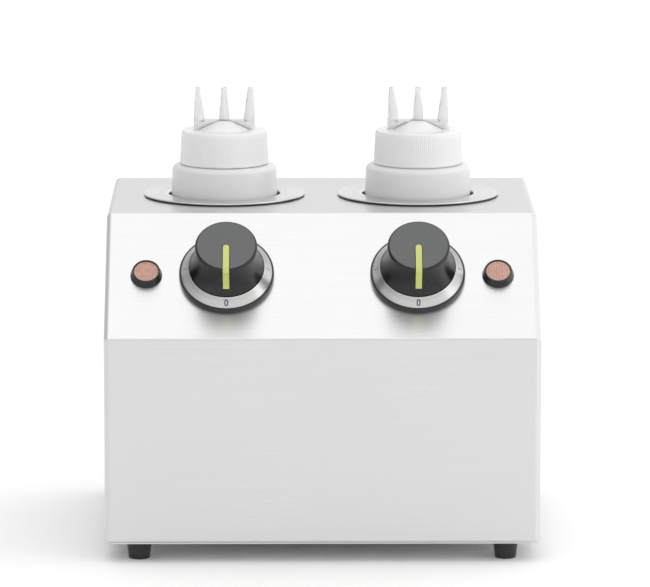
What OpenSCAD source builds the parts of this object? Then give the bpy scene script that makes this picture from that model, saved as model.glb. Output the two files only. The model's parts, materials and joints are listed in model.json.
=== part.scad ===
// Twin sauce-bottle warmer: a folded stainless housing with two heated wells, a knob and a
// pilot lamp for each well, and two squeeze bottles with triple-nozzle screw caps.
// Millimetres. +Z is up, the control panel faces -Y, the origin is on the table below the
// middle of the whole object. "left" and "right" are as seen by someone facing the controls.

/* [Housing] */
// Width across the sides
body_w = 280.6; // [274:0.2:300]
// Depth of the flat top
top_d = 158.5; // [150:0.5:170]
// Depth that the sloping control panel covers
slope_d = 74; // [72:1:84]
// Height that the sloping control panel covers
slope_h = 70.5; // [68:0.5:80]
// Height of the upright front
front_h = 133.5; // [130:0.5:150]
// Thickness of the stainless sheet
sheet_t = 1; // [0.8:0.1:1.2]
// Outside radius of the edges along the two sides
edge_r = 4; // [3:0.5:6]
// Outside radius of the folds that run across the front
fold_r = 2.6; // [1.4:0.1:3]
// Outside radius of the bottom and back edges
hem_r = 2; // [1.5:0.1:3]
// Width of the flanges turned in around the bottom and the back
flange_w = 12; // [10:1:14]

/* [Wells] */
// Distance between the two well centres
well_pitch = 129; // [124:1:134]
// Inside diameter of a well
well_d = 74; // [72:0.5:76]
// Outside diameter of the flange that rests on the top
well_flange_d = 107.7; // [100:0.1:112]
// Height of the well floor above the table
well_floor_z = 64.4; // [56:0.2:80]

/* [Controls] */
// Distance between the two knob axes
knob_pitch = 123.4; // [116:0.2:130]
// Distance between the two lamp axes
lamp_pitch = 227.2; // [222:0.2:232]
// Outside diameter of the black dial base
dial_d = 61.3; // [58:0.1:64]
// Diameter of the knob's lower lip
knob_lip_d = 48.8; // [46:0.1:49]
// Diameter of the knob's top rim
knob_rim_d = 40.1; // [38:0.1:42]
// Height of the knob's flat top above the panel
knob_top_h = 32.3; // [31:0.1:35]
// Diameter of a lamp's black bezel
lamp_d = 20.5; // [19:0.1:22]

/* [Bottles] */
// Outside diameter of a bottle
bottle_d = 71; // [68:0.5:72]
// Wall thickness of a bottle
bottle_t = 1.4; // [1.2:0.1:1.8]
// Height of the bottle's shoulder above the top plate
shoulder_h = 21.4; // [18:0.1:30]
// Height of the screw cap's skirt
cap_h = 22.4; // [20:0.1:24]
// Diameter of the cap's skirt at its bottom
cap_d = 58.9; // [58:0.1:61]
// Length of a nozzle
nozzle_h = 21.7; // [18:0.1:26]
// Distance between the nozzles where they leave the cap
nozzle_pitch = 16.6; // [15:0.1:17.5]
// Pitch of the screw thread
thread_pitch = 5; // [4.6:0.1:5.4]

/* [Feet] */
// Height of a rubber foot
foot_h = 11.9; // [8:0.1:14]
// Diameter of a foot at its top
foot_d = 16.5; // [14:0.1:17]
// Distance between the left and right feet
foot_pitch = 237.2; // [225:0.2:240]

/* [Hidden] */

$fn = 96;
eps = 0.01;
big = 400;
left = -1;
right = 1;

// Housing levels and planes
base_t = sheet_t;
panel_t = sheet_t;
inlet_flange_t = 3;
rear_proud = panel_t + inlet_flange_t;
body_d = slope_d + top_d;
front_y = -(body_d + rear_proud) / 2;
back_y = front_y + body_d;
top_y = front_y + slope_d;
body_z = foot_h + base_t;
knee_z = body_z + front_h;
top_z = knee_z + slope_h;
tilt = atan2(slope_h, slope_d);
panel_mid = [(front_y + top_y) / 2, (knee_z + top_z) / 2];
plate_inset = 3;
vent_z = body_z + 140;

// Wells
well_x = well_pitch / 2;
well_y = top_y + top_d / 2;
well_r = well_d / 2;
well_t = 1;
gasket_t = 1;
gasket_r = well_flange_d / 2 - 1.2;
flange_top_z = top_z + gasket_t + well_t;
well_hole_r = well_r + well_t + 0.5;
heater_z = well_floor_z + 14;
heater_h = 70;
heater_gap = 18;
heater_in_r = well_r + well_t + 0.2;
heater_out_r = heater_in_r + 2;
strap_t = 0.6;
strap_h = 14;
ear_l = 15;
ear_x = heater_gap / 2;
insulation_in_r = heater_out_r + strap_t + 0.6;
insulation_out_r = insulation_in_r + 8;
insulation_h = 94;
insulation_slot = 32;
sensor_r = 3;
sensor_l = 55;

// Tie bracket, its studs and its nuts
bracket_t = 1.5;
bracket_z = well_floor_z - 12;
bracket_w = 30;
bracket_l = 210;
bracket_lip = 12;
stud_r = 3;
stud_l = 20;
nut_h = 5;

// Fasteners
m4_r = 2;
m4_hole_r = 2.05;
head_r = 3.6;
head_h = 2.2;
m4_nut_r = 4;
m4_nut_h = 3;
foot_x = foot_pitch / 2;
foot_inset = 17;
foot_ys = [front_y + foot_inset, back_y - foot_inset];
foot_low_r = foot_d / 2 - 1.4;
foot_recess_r = 4.4;
foot_recess_h = 4.4;
base_flange_x = body_w / 2 - sheet_t - flange_w / 2;
base_screw_xy = [[-base_flange_x, well_y - 30], [base_flange_x, well_y - 30],
    [-base_flange_x, well_y + 45], [base_flange_x, well_y + 45],
    [-80, back_y - sheet_t - flange_w / 2], [80, back_y - sheet_t - flange_w / 2]];
bracket_screw_xy = [for (sx = [-1, 1]) for (sy = [-1, 1])
    [sx * (bracket_l / 2 - 14), well_y + sy * (bracket_w / 2 + bracket_lip / 2)]];
back_screw_xz = [for (sx = [-1, 0, 1]) for (z = [body_z + sheet_t + flange_w / 2,
    top_z - sheet_t - flange_w / 2]) [sx * 110, z]];

// Dial, knob and lamp profiles are pairs of radius and height above the panel
shaft_r = 3;
shaft_flat = 1.5;
ring_out = [dial_d / 2 - 1.35, 4.2];
ring_in = [knob_lip_d / 2 + 0.1, 9.3];
ring_t = 0.6;
ring_cut = 0.3;
zero_l = 4.4;
zero_w = 2.4;
zero_line = 0.7;
tick_l = 3.2;
tick_w = 0.5;
dial_floor_h = 5.4;
dial_under_h = 3.6;
knob_z = ring_in[1] + 0.5;
knob_lip_r = knob_lip_d / 2;
knob_rim_r = knob_rim_d / 2;
knob_neck_r = knob_rim_r - 0.4;
knob_neck_h = knob_top_h - 4.3;
knob_sweep_r = 39;
knob_round = 1.9;
pointer_w = 4;
pointer_proud = 0.5;
pointer_gap = 0.4;
pointer_deep = 1.6;
pointer_end_h = 15.4;
lamp_lens_r = 8;
lamp_h = 5.3;
lamp_barrel_r = 6.3;

// Bottle and cap levels
bottle_r = bottle_d / 2;
bottle_z = well_floor_z + 0.2;
shoulder_z = top_z + shoulder_h;
shoulder_round = 4.4;
neck_r = 25.2;
neck_t = 1.6;
neck_h = 19.6;
cap_z = shoulder_z + 0.4;
cap_top_z = cap_z + cap_h;
cap_r = cap_d / 2;
cap_top_r = cap_r - 1.45;
cap_in_r = 26.7;
cap_roof_t = 1.4;
seal_t = 1;
ridge_h = 6.4;
ridge_w = 8;
ridge_l = 2 * nozzle_pitch + 7.6;
nozzle_base_r = 3.8;
nozzle_tip_r = 1.85;
nozzle_wall = 0.8;
nozzle_lean = 2.6;
bead_h = 1;
bead_w = 1.8;
thread_turns = 1.75;

// Power inlet
inlet_x = 85;
inlet_z = body_z + 35;
inlet_w = 24.4;
inlet_h = 17;
inlet_depth = 17;
pin_l = 23;
pin_out = 8;
inlet_screw_pitch = 40;
pin_xz = [[-7, -2.5], [7, -2.5], [0, 2]];

// Thermostats, cut-outs, terminal block and earth stud
stat_w = 42;
stat_h = 32;
stat_d = 27;
stat_screw_x = 14;
stat_tab_x = 12;
stat_tab_y = 9;
stat_tab_l = 8;
inward = [sin(tilt), -cos(tilt)];
uphill = [cos(tilt), sin(tilt)];
stat_back = panel_mid + (stat_d + sheet_t + 1.5) * inward;
cutout_z = heater_z + heater_h + 20;
cutout_tab_z = 6.6;
cutout_tab_x = 4;
cutout_out = 16;
block_pole = 10;
block_h = 15;
block_at = [0, back_y - 28];
earth_at = [52, back_y - 20];
earth_l = 14;

// Wires: their radii, and the points they share
supply_r = 1.4;
feed_r = 2.2;
heater_wire_r = 1.3;
lamp_wire_r = 1.1;
tab_gap = 0.3;
block_z = body_z + 8;
block_front = block_at[1] - 9.2;
pin_back = back_y + panel_t - inlet_depth - pin_out - 0.2;
function pin_end(i) = [inlet_x + pin_xz[i][0], pin_back, inlet_z + pin_xz[i][1]];
wire_top = stat_back + (stat_tab_l + tab_gap) * inward + stat_tab_y * uphill;
wire_low = stat_back + (stat_tab_l + tab_gap) * inward - stat_tab_y * uphill;
lamp_barrel_l = 24;
lamp_tab_l = 7;
lamp_tab_x = 3;
lamp_tab = panel_mid + (lamp_barrel_l + lamp_tab_l + tab_gap) * inward;

steel = "#d3d4d5";
polished = "#c4c6c8";
zinc = "#aeb0b2";
black = "#1d1d1e";
rubber = "#242424";
silicone = "#2b2b2c";
nylon = "#e9e7de";

// ---------------------------------------------------------------- shared shapes

function unit(v) = v / norm(v);
function corner_cut(p, q, s, r) =
    r / tan(acos(unit(p - q) * unit(s - q)) / 2);
function corner_centre(p, q, s, r) =
    q + unit(unit(p - q) + unit(s - q)) * r / sin(acos(unit(p - q) * unit(s - q)) / 2);
function arc(centre, r, from, to, steps = 8) =
    [for (i = [0:steps]) centre + r * [cos(from + (to - from) * i / steps),
        sin(from + (to - from) * i / steps)]];

// A convex outline whose corner i is rounded by radii[i]
module round_poly(pts, radii) {
    n = len(pts);
    polygon([for (i = [0:n - 1])
        let (p = pts[(i + n - 1) % n], q = pts[i], s = pts[(i + 1) % n])
        let (cut = radii[i] > 0 ? corner_cut(p, q, s, radii[i]) : 0)
        each cut > 0 ? [q + unit(p - q) * cut, q + unit(s - q) * cut] : [q]]);
    for (i = [0:n - 1])
        if (radii[i] > 0)
            translate(corner_centre(pts[(i + n - 1) % n], pts[i], pts[(i + 1) % n], radii[i]))
                circle(r = radii[i]);
}

// A box outline between two corners, rounded by r
module round_box(low, high, r) {
    round_poly([low, [high[0], low[1]], high, [low[0], high[1]]], [r, r, r, r]);
}

// Children move from the panel's own frame (x across, y up the slope, z outward) to the row's
module on_panel(x) {
    translate([x, panel_mid[0], panel_mid[1]]) rotate([tilt, 0, 0]) children();
}

// Children stand on the vertical axis of one well
module at_well(side) {
    translate([side * well_x, well_y, 0]) children();
}

// A ring between two radii
module ring(r_in, r_out, h) {
    difference() {
        cylinder(r = r_out, h = h);
        translate([0, 0, -eps]) cylinder(r = r_in, h = h + 2 * eps);
    }
}

// A screw that points down, its head resting on z = 0
module screw(shank) {
    cylinder(r1 = head_r, r2 = head_r - 0.9, h = head_h);
    translate([0, 0, -shank]) cylinder(r = m4_r, h = shank + eps);
}

// A hexagon nut standing on z = 0
module nut(r, h, bore) {
    difference() {
        cylinder(r = r, h = h, $fn = 6);
        translate([0, 0, -eps]) cylinder(r = bore, h = h + 2 * eps);
    }
}

// Points of a route cut to a smooth line by trimming its corners
function smooth(p, passes) = passes == 0 ? p : smooth(concat([p[0]],
    [for (i = [0:len(p) - 2]) each [p[i] * 0.75 + p[i + 1] * 0.25, p[i] * 0.25 + p[i + 1] * 0.75]],
    [p[len(p) - 1]]), passes - 1);
function along(p, i) = unit(p[min(i + 1, len(p) - 1)] - p[max(i - 1, 0)]);
function ring_points(c, t, r, n) =
    let (u = unit(cross(t, [0.31, 0.52, 0.79])), v = cross(t, u))
    [for (k = [0:n - 1]) c + r * (u * cos(360 * k / n) + v * sin(360 * k / n))];

// A solid through rings of n points each, every ring turning right-handed about the way it goes
module sweep(rings) {
    m = len(rings);
    n = len(rings[0]);
    polyhedron(
        points = [for (r = rings) each r],
        faces = concat([[for (k = [0:n - 1]) k]],
            [for (i = [0:m - 2]) for (k = [0:n - 1]) let (a = i * n + k, b = i * n + (k + 1) % n)
                each [[a, a + n, b + n], [a, b + n, b]]],
            [[for (k = [n - 1:-1:0]) (m - 1) * n + k]]));
}

// A wire or tube of radius r along a route
module wire(route, r, passes = 2, n = 6) {
    p = smooth(route, passes);
    sweep([for (i = [0:len(p) - 1]) ring_points(p[i], along(p, i), r, n)]);
}

// ---------------------------------------------------------------- housing

// The housing's outer body, or the space inside it when every face moves in by inset
module body_block(inset) {
    half = body_w / 2 - inset;
    side_r = edge_r - inset;
    low_r = hem_r - inset / 2;
    knee_drop = inset * (1 - sin(tilt)) / cos(tilt);
    top_shift = inset * (1 - cos(tilt)) / sin(tilt);
    intersection() {
        translate([-half, 0, 0]) rotate([90, 0, 90]) linear_extrude(2 * half)
            round_poly([[front_y + inset, body_z + inset], [back_y - inset, body_z + inset],
                    [back_y - inset, top_z - inset], [top_y + top_shift, top_z - inset],
                    [front_y + inset, knee_z - knee_drop]],
                [low_r, low_r, low_r, fold_r - inset / 2, fold_r - inset / 2]);
        linear_extrude(big)
            round_poly([[-half, front_y + inset], [half, front_y + inset], [half, big], [-half, big]],
                [side_r, side_r, 0, 0]);
        on_panel(0) rotate([90, 0, 0]) linear_extrude(2 * big, center = true)
            round_poly([[-half, -big], [half, -big], [half, -inset], [-half, -inset]],
                [0, 0, side_r, side_r]);
        translate([0, back_y + eps, 0]) rotate([90, 0, 0]) linear_extrude(big)
            round_poly([[-half, body_z + inset], [half, body_z + inset],
                [half, top_z - inset], [-half, top_z - inset]], [low_r, low_r, side_r, side_r]);
    }
}

module housing_shell() {
    inner = sheet_t + flange_w;
    color(steel) difference() {
        body_block(0);
        body_block(sheet_t);
        translate([0, 0, body_z - eps]) linear_extrude(sheet_t + 2 * eps)
            round_box([-body_w / 2 + inner, front_y + inner], [body_w / 2 - inner, back_y - inner], 3);
        translate([0, back_y + eps, 0]) rotate([90, 0, 0]) linear_extrude(sheet_t + 2 * eps)
            round_box([-body_w / 2 + inner, body_z + inner], [body_w / 2 - inner, top_z - inner], 3);
        for (side = [left, right]) {
            at_well(side) translate([0, 0, top_z - 2 * sheet_t]) cylinder(r = well_hole_r, h = 10);
            on_panel(side * knob_pitch / 2) {
                translate([0, 0, -5]) cylinder(r = 5, h = 10);
                for (sx = [-1, 1]) translate([sx * stat_screw_x, 0, -5])
                    cylinder(r = m4_hole_r, h = 10);
            }
            on_panel(side * lamp_pitch / 2) translate([0, 0, -5])
                cylinder(r = lamp_barrel_r + 0.1, h = 10);
        }
        for (p = base_screw_xy)
            translate([p[0], p[1], body_z - 1]) cylinder(r = m4_hole_r, h = sheet_t + 2);
        for (p = back_screw_xz)
            translate([p[0], back_y - sheet_t - 1, p[1]]) rotate([-90, 0, 0])
                cylinder(r = m4_hole_r, h = sheet_t + 2);
    }
}

module back_panel() {
    slot_pitch = 9;
    color(steel) difference() {
        translate([0, back_y + panel_t, 0]) rotate([90, 0, 0]) linear_extrude(panel_t)
            round_box([-body_w / 2 + plate_inset, body_z + plate_inset],
                [body_w / 2 - plate_inset, top_z - plate_inset], 3);
        for (sx = [-1, 1]) for (i = [-4:4])
            translate([sx * 60 + i * slot_pitch, back_y + panel_t + 1, 0]) rotate([90, 0, 0])
                linear_extrude(panel_t + 2) round_box([-1.5, vent_z], [1.5, vent_z + 30], 1.49);
        translate([inlet_x - inlet_w / 2 - 2, back_y - 1, inlet_z - inlet_h / 2 - 2])
            cube([inlet_w + 4, panel_t + 2, inlet_h + 4]);
        for (sx = [-1, 1])
            translate([inlet_x + sx * inlet_screw_pitch / 2, back_y - 1, inlet_z]) rotate([-90, 0, 0])
                cylinder(r = 1.55, h = panel_t + 2);
        for (p = back_screw_xz)
            translate([p[0], back_y - 1, p[1]]) rotate([-90, 0, 0])
                cylinder(r = m4_hole_r, h = panel_t + 2);
    }
}

module base_plate() {
    slot_pitch = 10;
    color(steel) difference() {
        translate([0, 0, foot_h]) linear_extrude(base_t)
            round_box([-body_w / 2 + plate_inset, front_y + plate_inset],
                [body_w / 2 - plate_inset, back_y - plate_inset], 3);
        for (side = [left, right]) for (row = [-1, 1]) for (i = [-3:3])
            translate([side * well_x + i * slot_pitch, well_y + row * 48, foot_h - 1])
                linear_extrude(base_t + 2) round_box([-1.5, -13], [1.5, 13], 1.49);
        for (p = concat(base_screw_xy, bracket_screw_xy))
            translate([p[0], p[1], foot_h - 1]) cylinder(r = m4_hole_r, h = base_t + 2);
        for (x = [-foot_x, foot_x]) for (y = foot_ys)
            translate([x, y, foot_h - 1]) cylinder(r = m4_hole_r, h = base_t + 2);
        translate([earth_at[0], earth_at[1], foot_h - 1]) cylinder(r = 2.5, h = base_t + 2);
        for (sx = [-1, 1])
            translate([block_at[0] + sx * 1.5 * block_pole, block_at[1], foot_h - 1])
                cylinder(r = 1.5, h = base_t + 2);
    }
}

// A hat-shaped bar that the wells are drawn down onto
module tie_bracket() {
    half = bracket_w / 2;
    color(zinc) difference() {
        translate([-bracket_l / 2, well_y, 0]) rotate([90, 0, 90]) linear_extrude(bracket_l)
            polygon([[-half - bracket_lip, body_z], [-half, body_z],
                [-half, bracket_z - bracket_t], [half, bracket_z - bracket_t], [half, body_z],
                [half + bracket_lip, body_z], [half + bracket_lip, body_z + bracket_t],
                [half + bracket_t, body_z + bracket_t], [half + bracket_t, bracket_z],
                [-half - bracket_t, bracket_z], [-half - bracket_t, body_z + bracket_t],
                [-half - bracket_lip, body_z + bracket_t]]);
        for (side = [left, right])
            at_well(side) translate([0, 0, bracket_z - 5]) cylinder(r = stud_r + 0.2, h = 10);
        for (p = bracket_screw_xy)
            translate([p[0], p[1], body_z - 1]) cylinder(r = m4_hole_r, h = bracket_t + 2);
    }
}

module foot(x, y) {
    color(rubber) translate([x, y, 0]) difference() {
        rotate_extrude()
            polygon(concat([[0, 0]], arc([foot_low_r - 0.8, 0.8], 0.8, -90, 0, 5),
                [[foot_d / 2, foot_h], [0, foot_h]]));
        translate([0, 0, -eps]) cylinder(r = foot_recess_r, h = foot_recess_h + eps);
        cylinder(r = m4_hole_r, h = foot_h + 1);
    }
}

module foot_screws() {
    color(zinc) for (x = [-foot_x, foot_x]) for (y = foot_ys)
        translate([x, y, foot_recess_h]) mirror([0, 0, 1]) screw(foot_h - foot_recess_h + base_t + 5);
}

module base_screws() {
    color(zinc) {
        for (p = base_screw_xy)
            translate([p[0], p[1], foot_h]) mirror([0, 0, 1]) screw(base_t + sheet_t + 4);
        for (p = bracket_screw_xy)
            translate([p[0], p[1], foot_h]) mirror([0, 0, 1]) screw(base_t + bracket_t + 4);
    }
}

module back_screws() {
    color(zinc) for (p = back_screw_xz)
        translate([p[0], back_y + panel_t, p[1]]) rotate([-90, 0, 0]) screw(panel_t + sheet_t + 4);
}

// Nuts of the feet, the base plate, the tie bracket and the back panel
module m4_nuts() {
    color(zinc) {
        for (x = [-foot_x, foot_x]) for (y = foot_ys)
            translate([x, y, body_z]) nut(m4_nut_r, m4_nut_h, m4_hole_r);
        for (p = base_screw_xy)
            translate([p[0], p[1], body_z + sheet_t]) nut(m4_nut_r, m4_nut_h, m4_hole_r);
        for (p = bracket_screw_xy)
            translate([p[0], p[1], body_z + bracket_t]) nut(m4_nut_r, m4_nut_h, m4_hole_r);
        for (p = back_screw_xz)
            translate([p[0], back_y - sheet_t, p[1]]) rotate([90, 0, 0])
                nut(m4_nut_r, m4_nut_h, m4_hole_r);
    }
}

// ---------------------------------------------------------------- wells and heating

module flange_gasket(side) {
    color(silicone) at_well(side) translate([0, 0, top_z])
        ring(well_r + well_t + 0.1, gasket_r, gasket_t);
}

// A deep-drawn pot: a rolled flange on top, a round-cornered floor and a stud welded below
module well(side) {
    floor_r = 6;
    lip_r = 1.6;
    flange_r = well_flange_d / 2;
    under = flange_top_z - well_t;
    color(polished) at_well(side) {
        rotate_extrude() polygon(concat(
            [[0, well_floor_z], [well_r - floor_r, well_floor_z]],
            arc([well_r - floor_r, well_floor_z + floor_r], floor_r, -90, 0),
            arc([well_r + lip_r, flange_top_z - lip_r], lip_r, 180, 90, 6),
            arc([flange_r - well_t / 2, flange_top_z - well_t / 2], well_t / 2, 90, -90, 6),
            [[well_r + well_t, under], [well_r + well_t, well_floor_z + floor_r]],
            arc([well_r - floor_r, well_floor_z + floor_r], floor_r + well_t, 0, -90),
            [[0, well_floor_z - well_t]]));
        translate([0, 0, well_floor_z - well_t - stud_l]) cylinder(r = stud_r, h = stud_l + eps);
    }
}

module well_nuts() {
    color(zinc) for (side = [left, right]) at_well(side)
        translate([0, 0, bracket_z - bracket_t - nut_h]) nut(5.8, nut_h, stud_r);
}

// A ring open towards the controls by a gap of the given width
module open_band(r_in, r_out, h, gap) {
    difference() {
        ring(r_in, r_out, h);
        translate([-gap / 2, -2 * r_out, -1]) cube([gap, 2 * r_out, h + 2]);
    }
}

module heater_band(side) {
    color("#b9a88a") at_well(side) translate([0, 0, heater_z])
        open_band(heater_in_r, heater_out_r, heater_h, heater_gap);
}

module heater_clamp(side) {
    mid = heater_z + heater_h / 2 - strap_h / 2;
    color(zinc) at_well(side) translate([0, 0, mid]) {
        open_band(heater_out_r, heater_out_r + strap_t, strap_h, heater_gap);
        for (sx = [-1, 1]) difference() {
            translate([sx > 0 ? ear_x : -ear_x - 1, -heater_out_r - ear_l, 0])
                cube([1, ear_l + 1.6, strap_h]);
            translate([0, 0, -1]) cylinder(r = heater_out_r, h = strap_h + 2);
            translate([-big / 2, -heater_out_r - ear_l + 4, strap_h / 2]) rotate([0, 90, 0])
                cylinder(r = m4_hole_r, h = big);
        }
    }
}

module clamp_screws() {
    color(zinc) for (side = [left, right]) at_well(side)
        translate([0, -heater_out_r - ear_l + 4, heater_z + heater_h / 2]) {
            translate([ear_x + 1, 0, 0]) rotate([0, 90, 0]) screw(heater_gap + 8);
            translate([-ear_x - 1 - m4_nut_h, 0, 0]) rotate([0, 90, 0])
                nut(m4_nut_r, m4_nut_h, m4_r);
        }
}

module insulation(side) {
    color("#e6e0d2") at_well(side) translate([0, 0, heater_z - 12])
        open_band(insulation_in_r, insulation_out_r, insulation_h, insulation_slot);
}

// The over-temperature cut-out, on the wall of the well above the heater
module thermal_cutout(side) {
    color("#3a2c22") at_well(side) translate([0, -well_r - well_t - 0.1, cutout_z]) {
        translate([-8, -9, 0]) cube([16, 9, 14]);
        for (sx = [-1, 1]) translate([sx * cutout_tab_x - 2, -cutout_out, cutout_tab_z])
            cube([4, cutout_out - 9 + eps, 0.8]);
    }
}

// The capillary sensor: its bulb stands in the heater's gap and its tube runs to the thermostat
module sensor(side) {
    at = [side * well_x, well_y - well_r - well_t - sensor_r - 0.1, heater_z + 6];
    tube_x = side * knob_pitch / 2;
    tube_end = stat_back + 0.2 * inward;
    color("#b87333") {
        translate(at) cylinder(r = sensor_r, h = sensor_l);
        wire([at + [0, 0, sensor_l - 1], at + [0, 0, sensor_l + 8],
            at + [-side * 2.6, -12, sensor_l + 12],
            [tube_x, tube_end[0] + 8, tube_end[1] - 6], [tube_x, tube_end[0], tube_end[1]]], 0.9);
    }
}

// ---------------------------------------------------------------- controls

module thermostat(side) {
    color("#cfcfc9") on_panel(side * knob_pitch / 2) difference() {
        union() {
            translate([-stat_w / 2 - 2, -stat_h / 2, -sheet_t - 1.5])
                cube([stat_w + 4, stat_h, 1.5]);
            translate([-stat_w / 2, -stat_h / 2, -sheet_t - 1.5 - stat_d])
                cube([stat_w, stat_h, stat_d + eps]);
            for (sx = [-1, 1]) for (sy = [-1, 1])
                translate([sx * stat_tab_x - 3, sy * stat_tab_y - 0.4,
                    -sheet_t - 1.5 - stat_d - stat_tab_l])
                    cube([6, 0.8, stat_tab_l + eps]);
        }
        translate([0, 0, -14]) cylinder(r = shaft_r + 0.05, h = 20);
        for (sx = [-1, 1]) translate([sx * stat_screw_x, 0, -9]) cylinder(r = m4_r, h = 10);
    }
}

module thermostat_screws() {
    color(zinc) for (side = [left, right]) on_panel(side * knob_pitch / 2)
        for (sx = [-1, 1]) translate([sx * stat_screw_x, 0, 0]) screw(8);
}

// The round shaft with a flat along the length that the knob grips
module shaft_bar(r, from, to) {
    difference() {
        translate([0, 0, from]) cylinder(r = r, h = to - from);
        translate([-r, r - shaft_flat, knob_z - 3]) cube([2 * r, r, big]);
    }
}

module thermostat_shaft(side) {
    color(zinc) on_panel(side * knob_pitch / 2) shaft_bar(shaft_r, -13, 22);
}

// The black dial base: a hollow rim with a bevel that carries the scale ring
module dial_base(side) {
    n = unit([ring_in[1] - ring_out[1], ring_out[0] - ring_in[0]]);
    seat_out = ring_out - ring_t * n;
    seat_in = ring_in - ring_t * n;
    r = dial_d / 2;
    color(black) on_panel(side * knob_pitch / 2) rotate_extrude()
        polygon(concat([[r - 2, 0], [r, 0]], arc([r - 1.1, 3.1], 1.1, 0, 90, 6),
            [ring_out, seat_out, seat_in, [22, seat_in[1]], [22, dial_floor_h],
            [7.5, dial_floor_h], [7.5, dial_under_h], [r - 4.2, dial_under_h], [r - 2, 1.2]]));
}

// The silver scale ring: a shallow cone with its zero mark and graduations cut in
module dial_ring(side) {
    into = -unit([ring_in[1] - ring_out[1], ring_out[0] - ring_in[0]]);
    mid = (ring_out + ring_in) / 2;
    lie = atan2(ring_in[1] - ring_out[1], ring_out[0] - ring_in[0]);
    color(polished) on_panel(side * knob_pitch / 2) difference() {
        rotate_extrude()
            polygon([ring_out, ring_in, ring_in + ring_t * into, ring_out + ring_t * into]);
        translate([0, -mid[0], mid[1]]) rotate([lie, 0, 0]) zero_mark();
        for (turn = [0, 180])
            rotate([0, 0, turn]) translate([mid[0], 0, mid[1]]) rotate([0, lie, 0])
                cube([tick_l, tick_w, 2 * ring_cut], center = true);
    }
}

// The groove of the zero, an upright loop
module zero_mark() {
    half = [zero_w / 2, zero_l / 2];
    line = [zero_line, zero_line];
    translate([0, 0, -ring_cut]) linear_extrude(1) difference() {
        round_box(-half, half, half[0] - eps);
        round_box(line - half, half - line, half[0] - zero_line - eps);
    }
}

// The knob's outline without its bore, as radius and height
module knob_outline() {
    difference() {
        polygon(concat([[0, knob_z]], arc([knob_lip_r - 0.5, knob_z + 0.5], 0.5, -90, 0, 4),
            [[knob_lip_r, knob_neck_h], [0, knob_neck_h]]));
        translate([knob_neck_r + knob_sweep_r, knob_neck_h]) circle(r = knob_sweep_r, $fn = 240);
    }
    polygon(concat([[0, knob_neck_h - 1], [knob_neck_r, knob_neck_h - eps],
            [knob_rim_r, knob_neck_h + 0.7]],
        arc([knob_rim_r - knob_round, knob_top_h - knob_round], knob_round, 0, 90, 8),
        [[0, knob_top_h]]));
}

// Radius of the knob's flaring sweep at a height
function sweep_r(h) =
    knob_neck_r + knob_sweep_r - sqrt(pow(knob_sweep_r, 2) - pow(knob_neck_h - h, 2));

// The pointer's side outline: across the top from the middle, over the rim and down the sweep
module pointer_outline(proud) {
    turn = knob_round + proud;
    downs = [for (i = [0:8]) knob_neck_h + 0.7 - (knob_neck_h + 0.7 - pointer_end_h) * i / 8];
    polygon(concat([[2, knob_top_h + proud]],
        arc([knob_rim_r - knob_round, knob_top_h - knob_round], turn, 90, 0, 6),
        [for (h = downs) [(h > knob_neck_h ? knob_rim_r : sweep_r(h)) + proud, h]],
        [for (i = [8:-1:1]) [sweep_r(min(downs[i], knob_neck_h)) - pointer_deep, downs[i]]],
        [[knob_rim_r - pointer_deep - 1, knob_top_h - pointer_deep - 1.4],
        [knob_rim_r - 4, knob_top_h - pointer_deep], [2, knob_top_h - pointer_deep]]));
}

module pointer_bar(w, proud) {
    rotate([90, 0, -90]) linear_extrude(w, center = true) pointer_outline(proud);
    translate([0, -2, knob_top_h - pointer_deep]) cylinder(r = w / 2, h = pointer_deep + proud);
}

module knob(side) {
    color(black) on_panel(side * knob_pitch / 2) difference() {
        union() {
            difference() {
                rotate_extrude() knob_outline();
                translate([0, 0, knob_z - 1]) cylinder(r = knob_neck_r - 2.4, h = 18);
            }
            translate([0, 0, knob_z - 3]) cylinder(r = 6, h = 20);
        }
        shaft_bar(shaft_r, knob_z - 4, 22);
        pointer_bar(pointer_w + 2 * pointer_gap, 1);
    }
}

module knob_pointer(side) {
    color("#d4d787") on_panel(side * knob_pitch / 2) pointer_bar(pointer_w, pointer_proud);
}

module lamp_bezel(side) {
    r = lamp_d / 2;
    color(black) on_panel(side * lamp_pitch / 2) rotate_extrude()
        polygon([[lamp_barrel_r, 0], [r, 0], [r, 0.8], [r - 0.4, 1.8],
            [lamp_lens_r + 0.9, lamp_h - 0.3], [lamp_lens_r + 0.65, lamp_h],
            [lamp_lens_r + 0.05, lamp_h], [lamp_lens_r + 0.05, 1.5], [lamp_barrel_r, 1.5]]);
}

module lamp_lens(side) {
    dome_r = 40;
    rim_z = lamp_h - 0.4;
    drop = sqrt(pow(dome_r, 2) - pow(lamp_lens_r, 2));
    color("#b0705a") on_panel(side * lamp_pitch / 2) rotate_extrude()
        polygon(concat([[0, 1.5], [lamp_lens_r, 1.5], [lamp_lens_r, rim_z]],
            [for (i = [7:-1:0]) let (x = lamp_lens_r * i / 8)
                [x, rim_z + sqrt(pow(dome_r, 2) - x * x) - drop]]));
}

// The lamp's barrel behind the panel, with its snap ring and two tabs
module lamp_holder(side) {
    color(nylon) on_panel(side * lamp_pitch / 2) {
        translate([0, 0, -lamp_barrel_l]) cylinder(r = lamp_barrel_r - 0.05, h = lamp_barrel_l + 1.5);
        translate([0, 0, -sheet_t - 2.5]) cylinder(r = lamp_barrel_r + 1.8, h = 2.5);
        for (sx = [-1, 1]) translate([sx * lamp_tab_x - 0.4, -1.4, -lamp_barrel_l - lamp_tab_l])
            cube([0.8, 2.8, lamp_tab_l + eps]);
    }
}

// ---------------------------------------------------------------- supply

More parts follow.
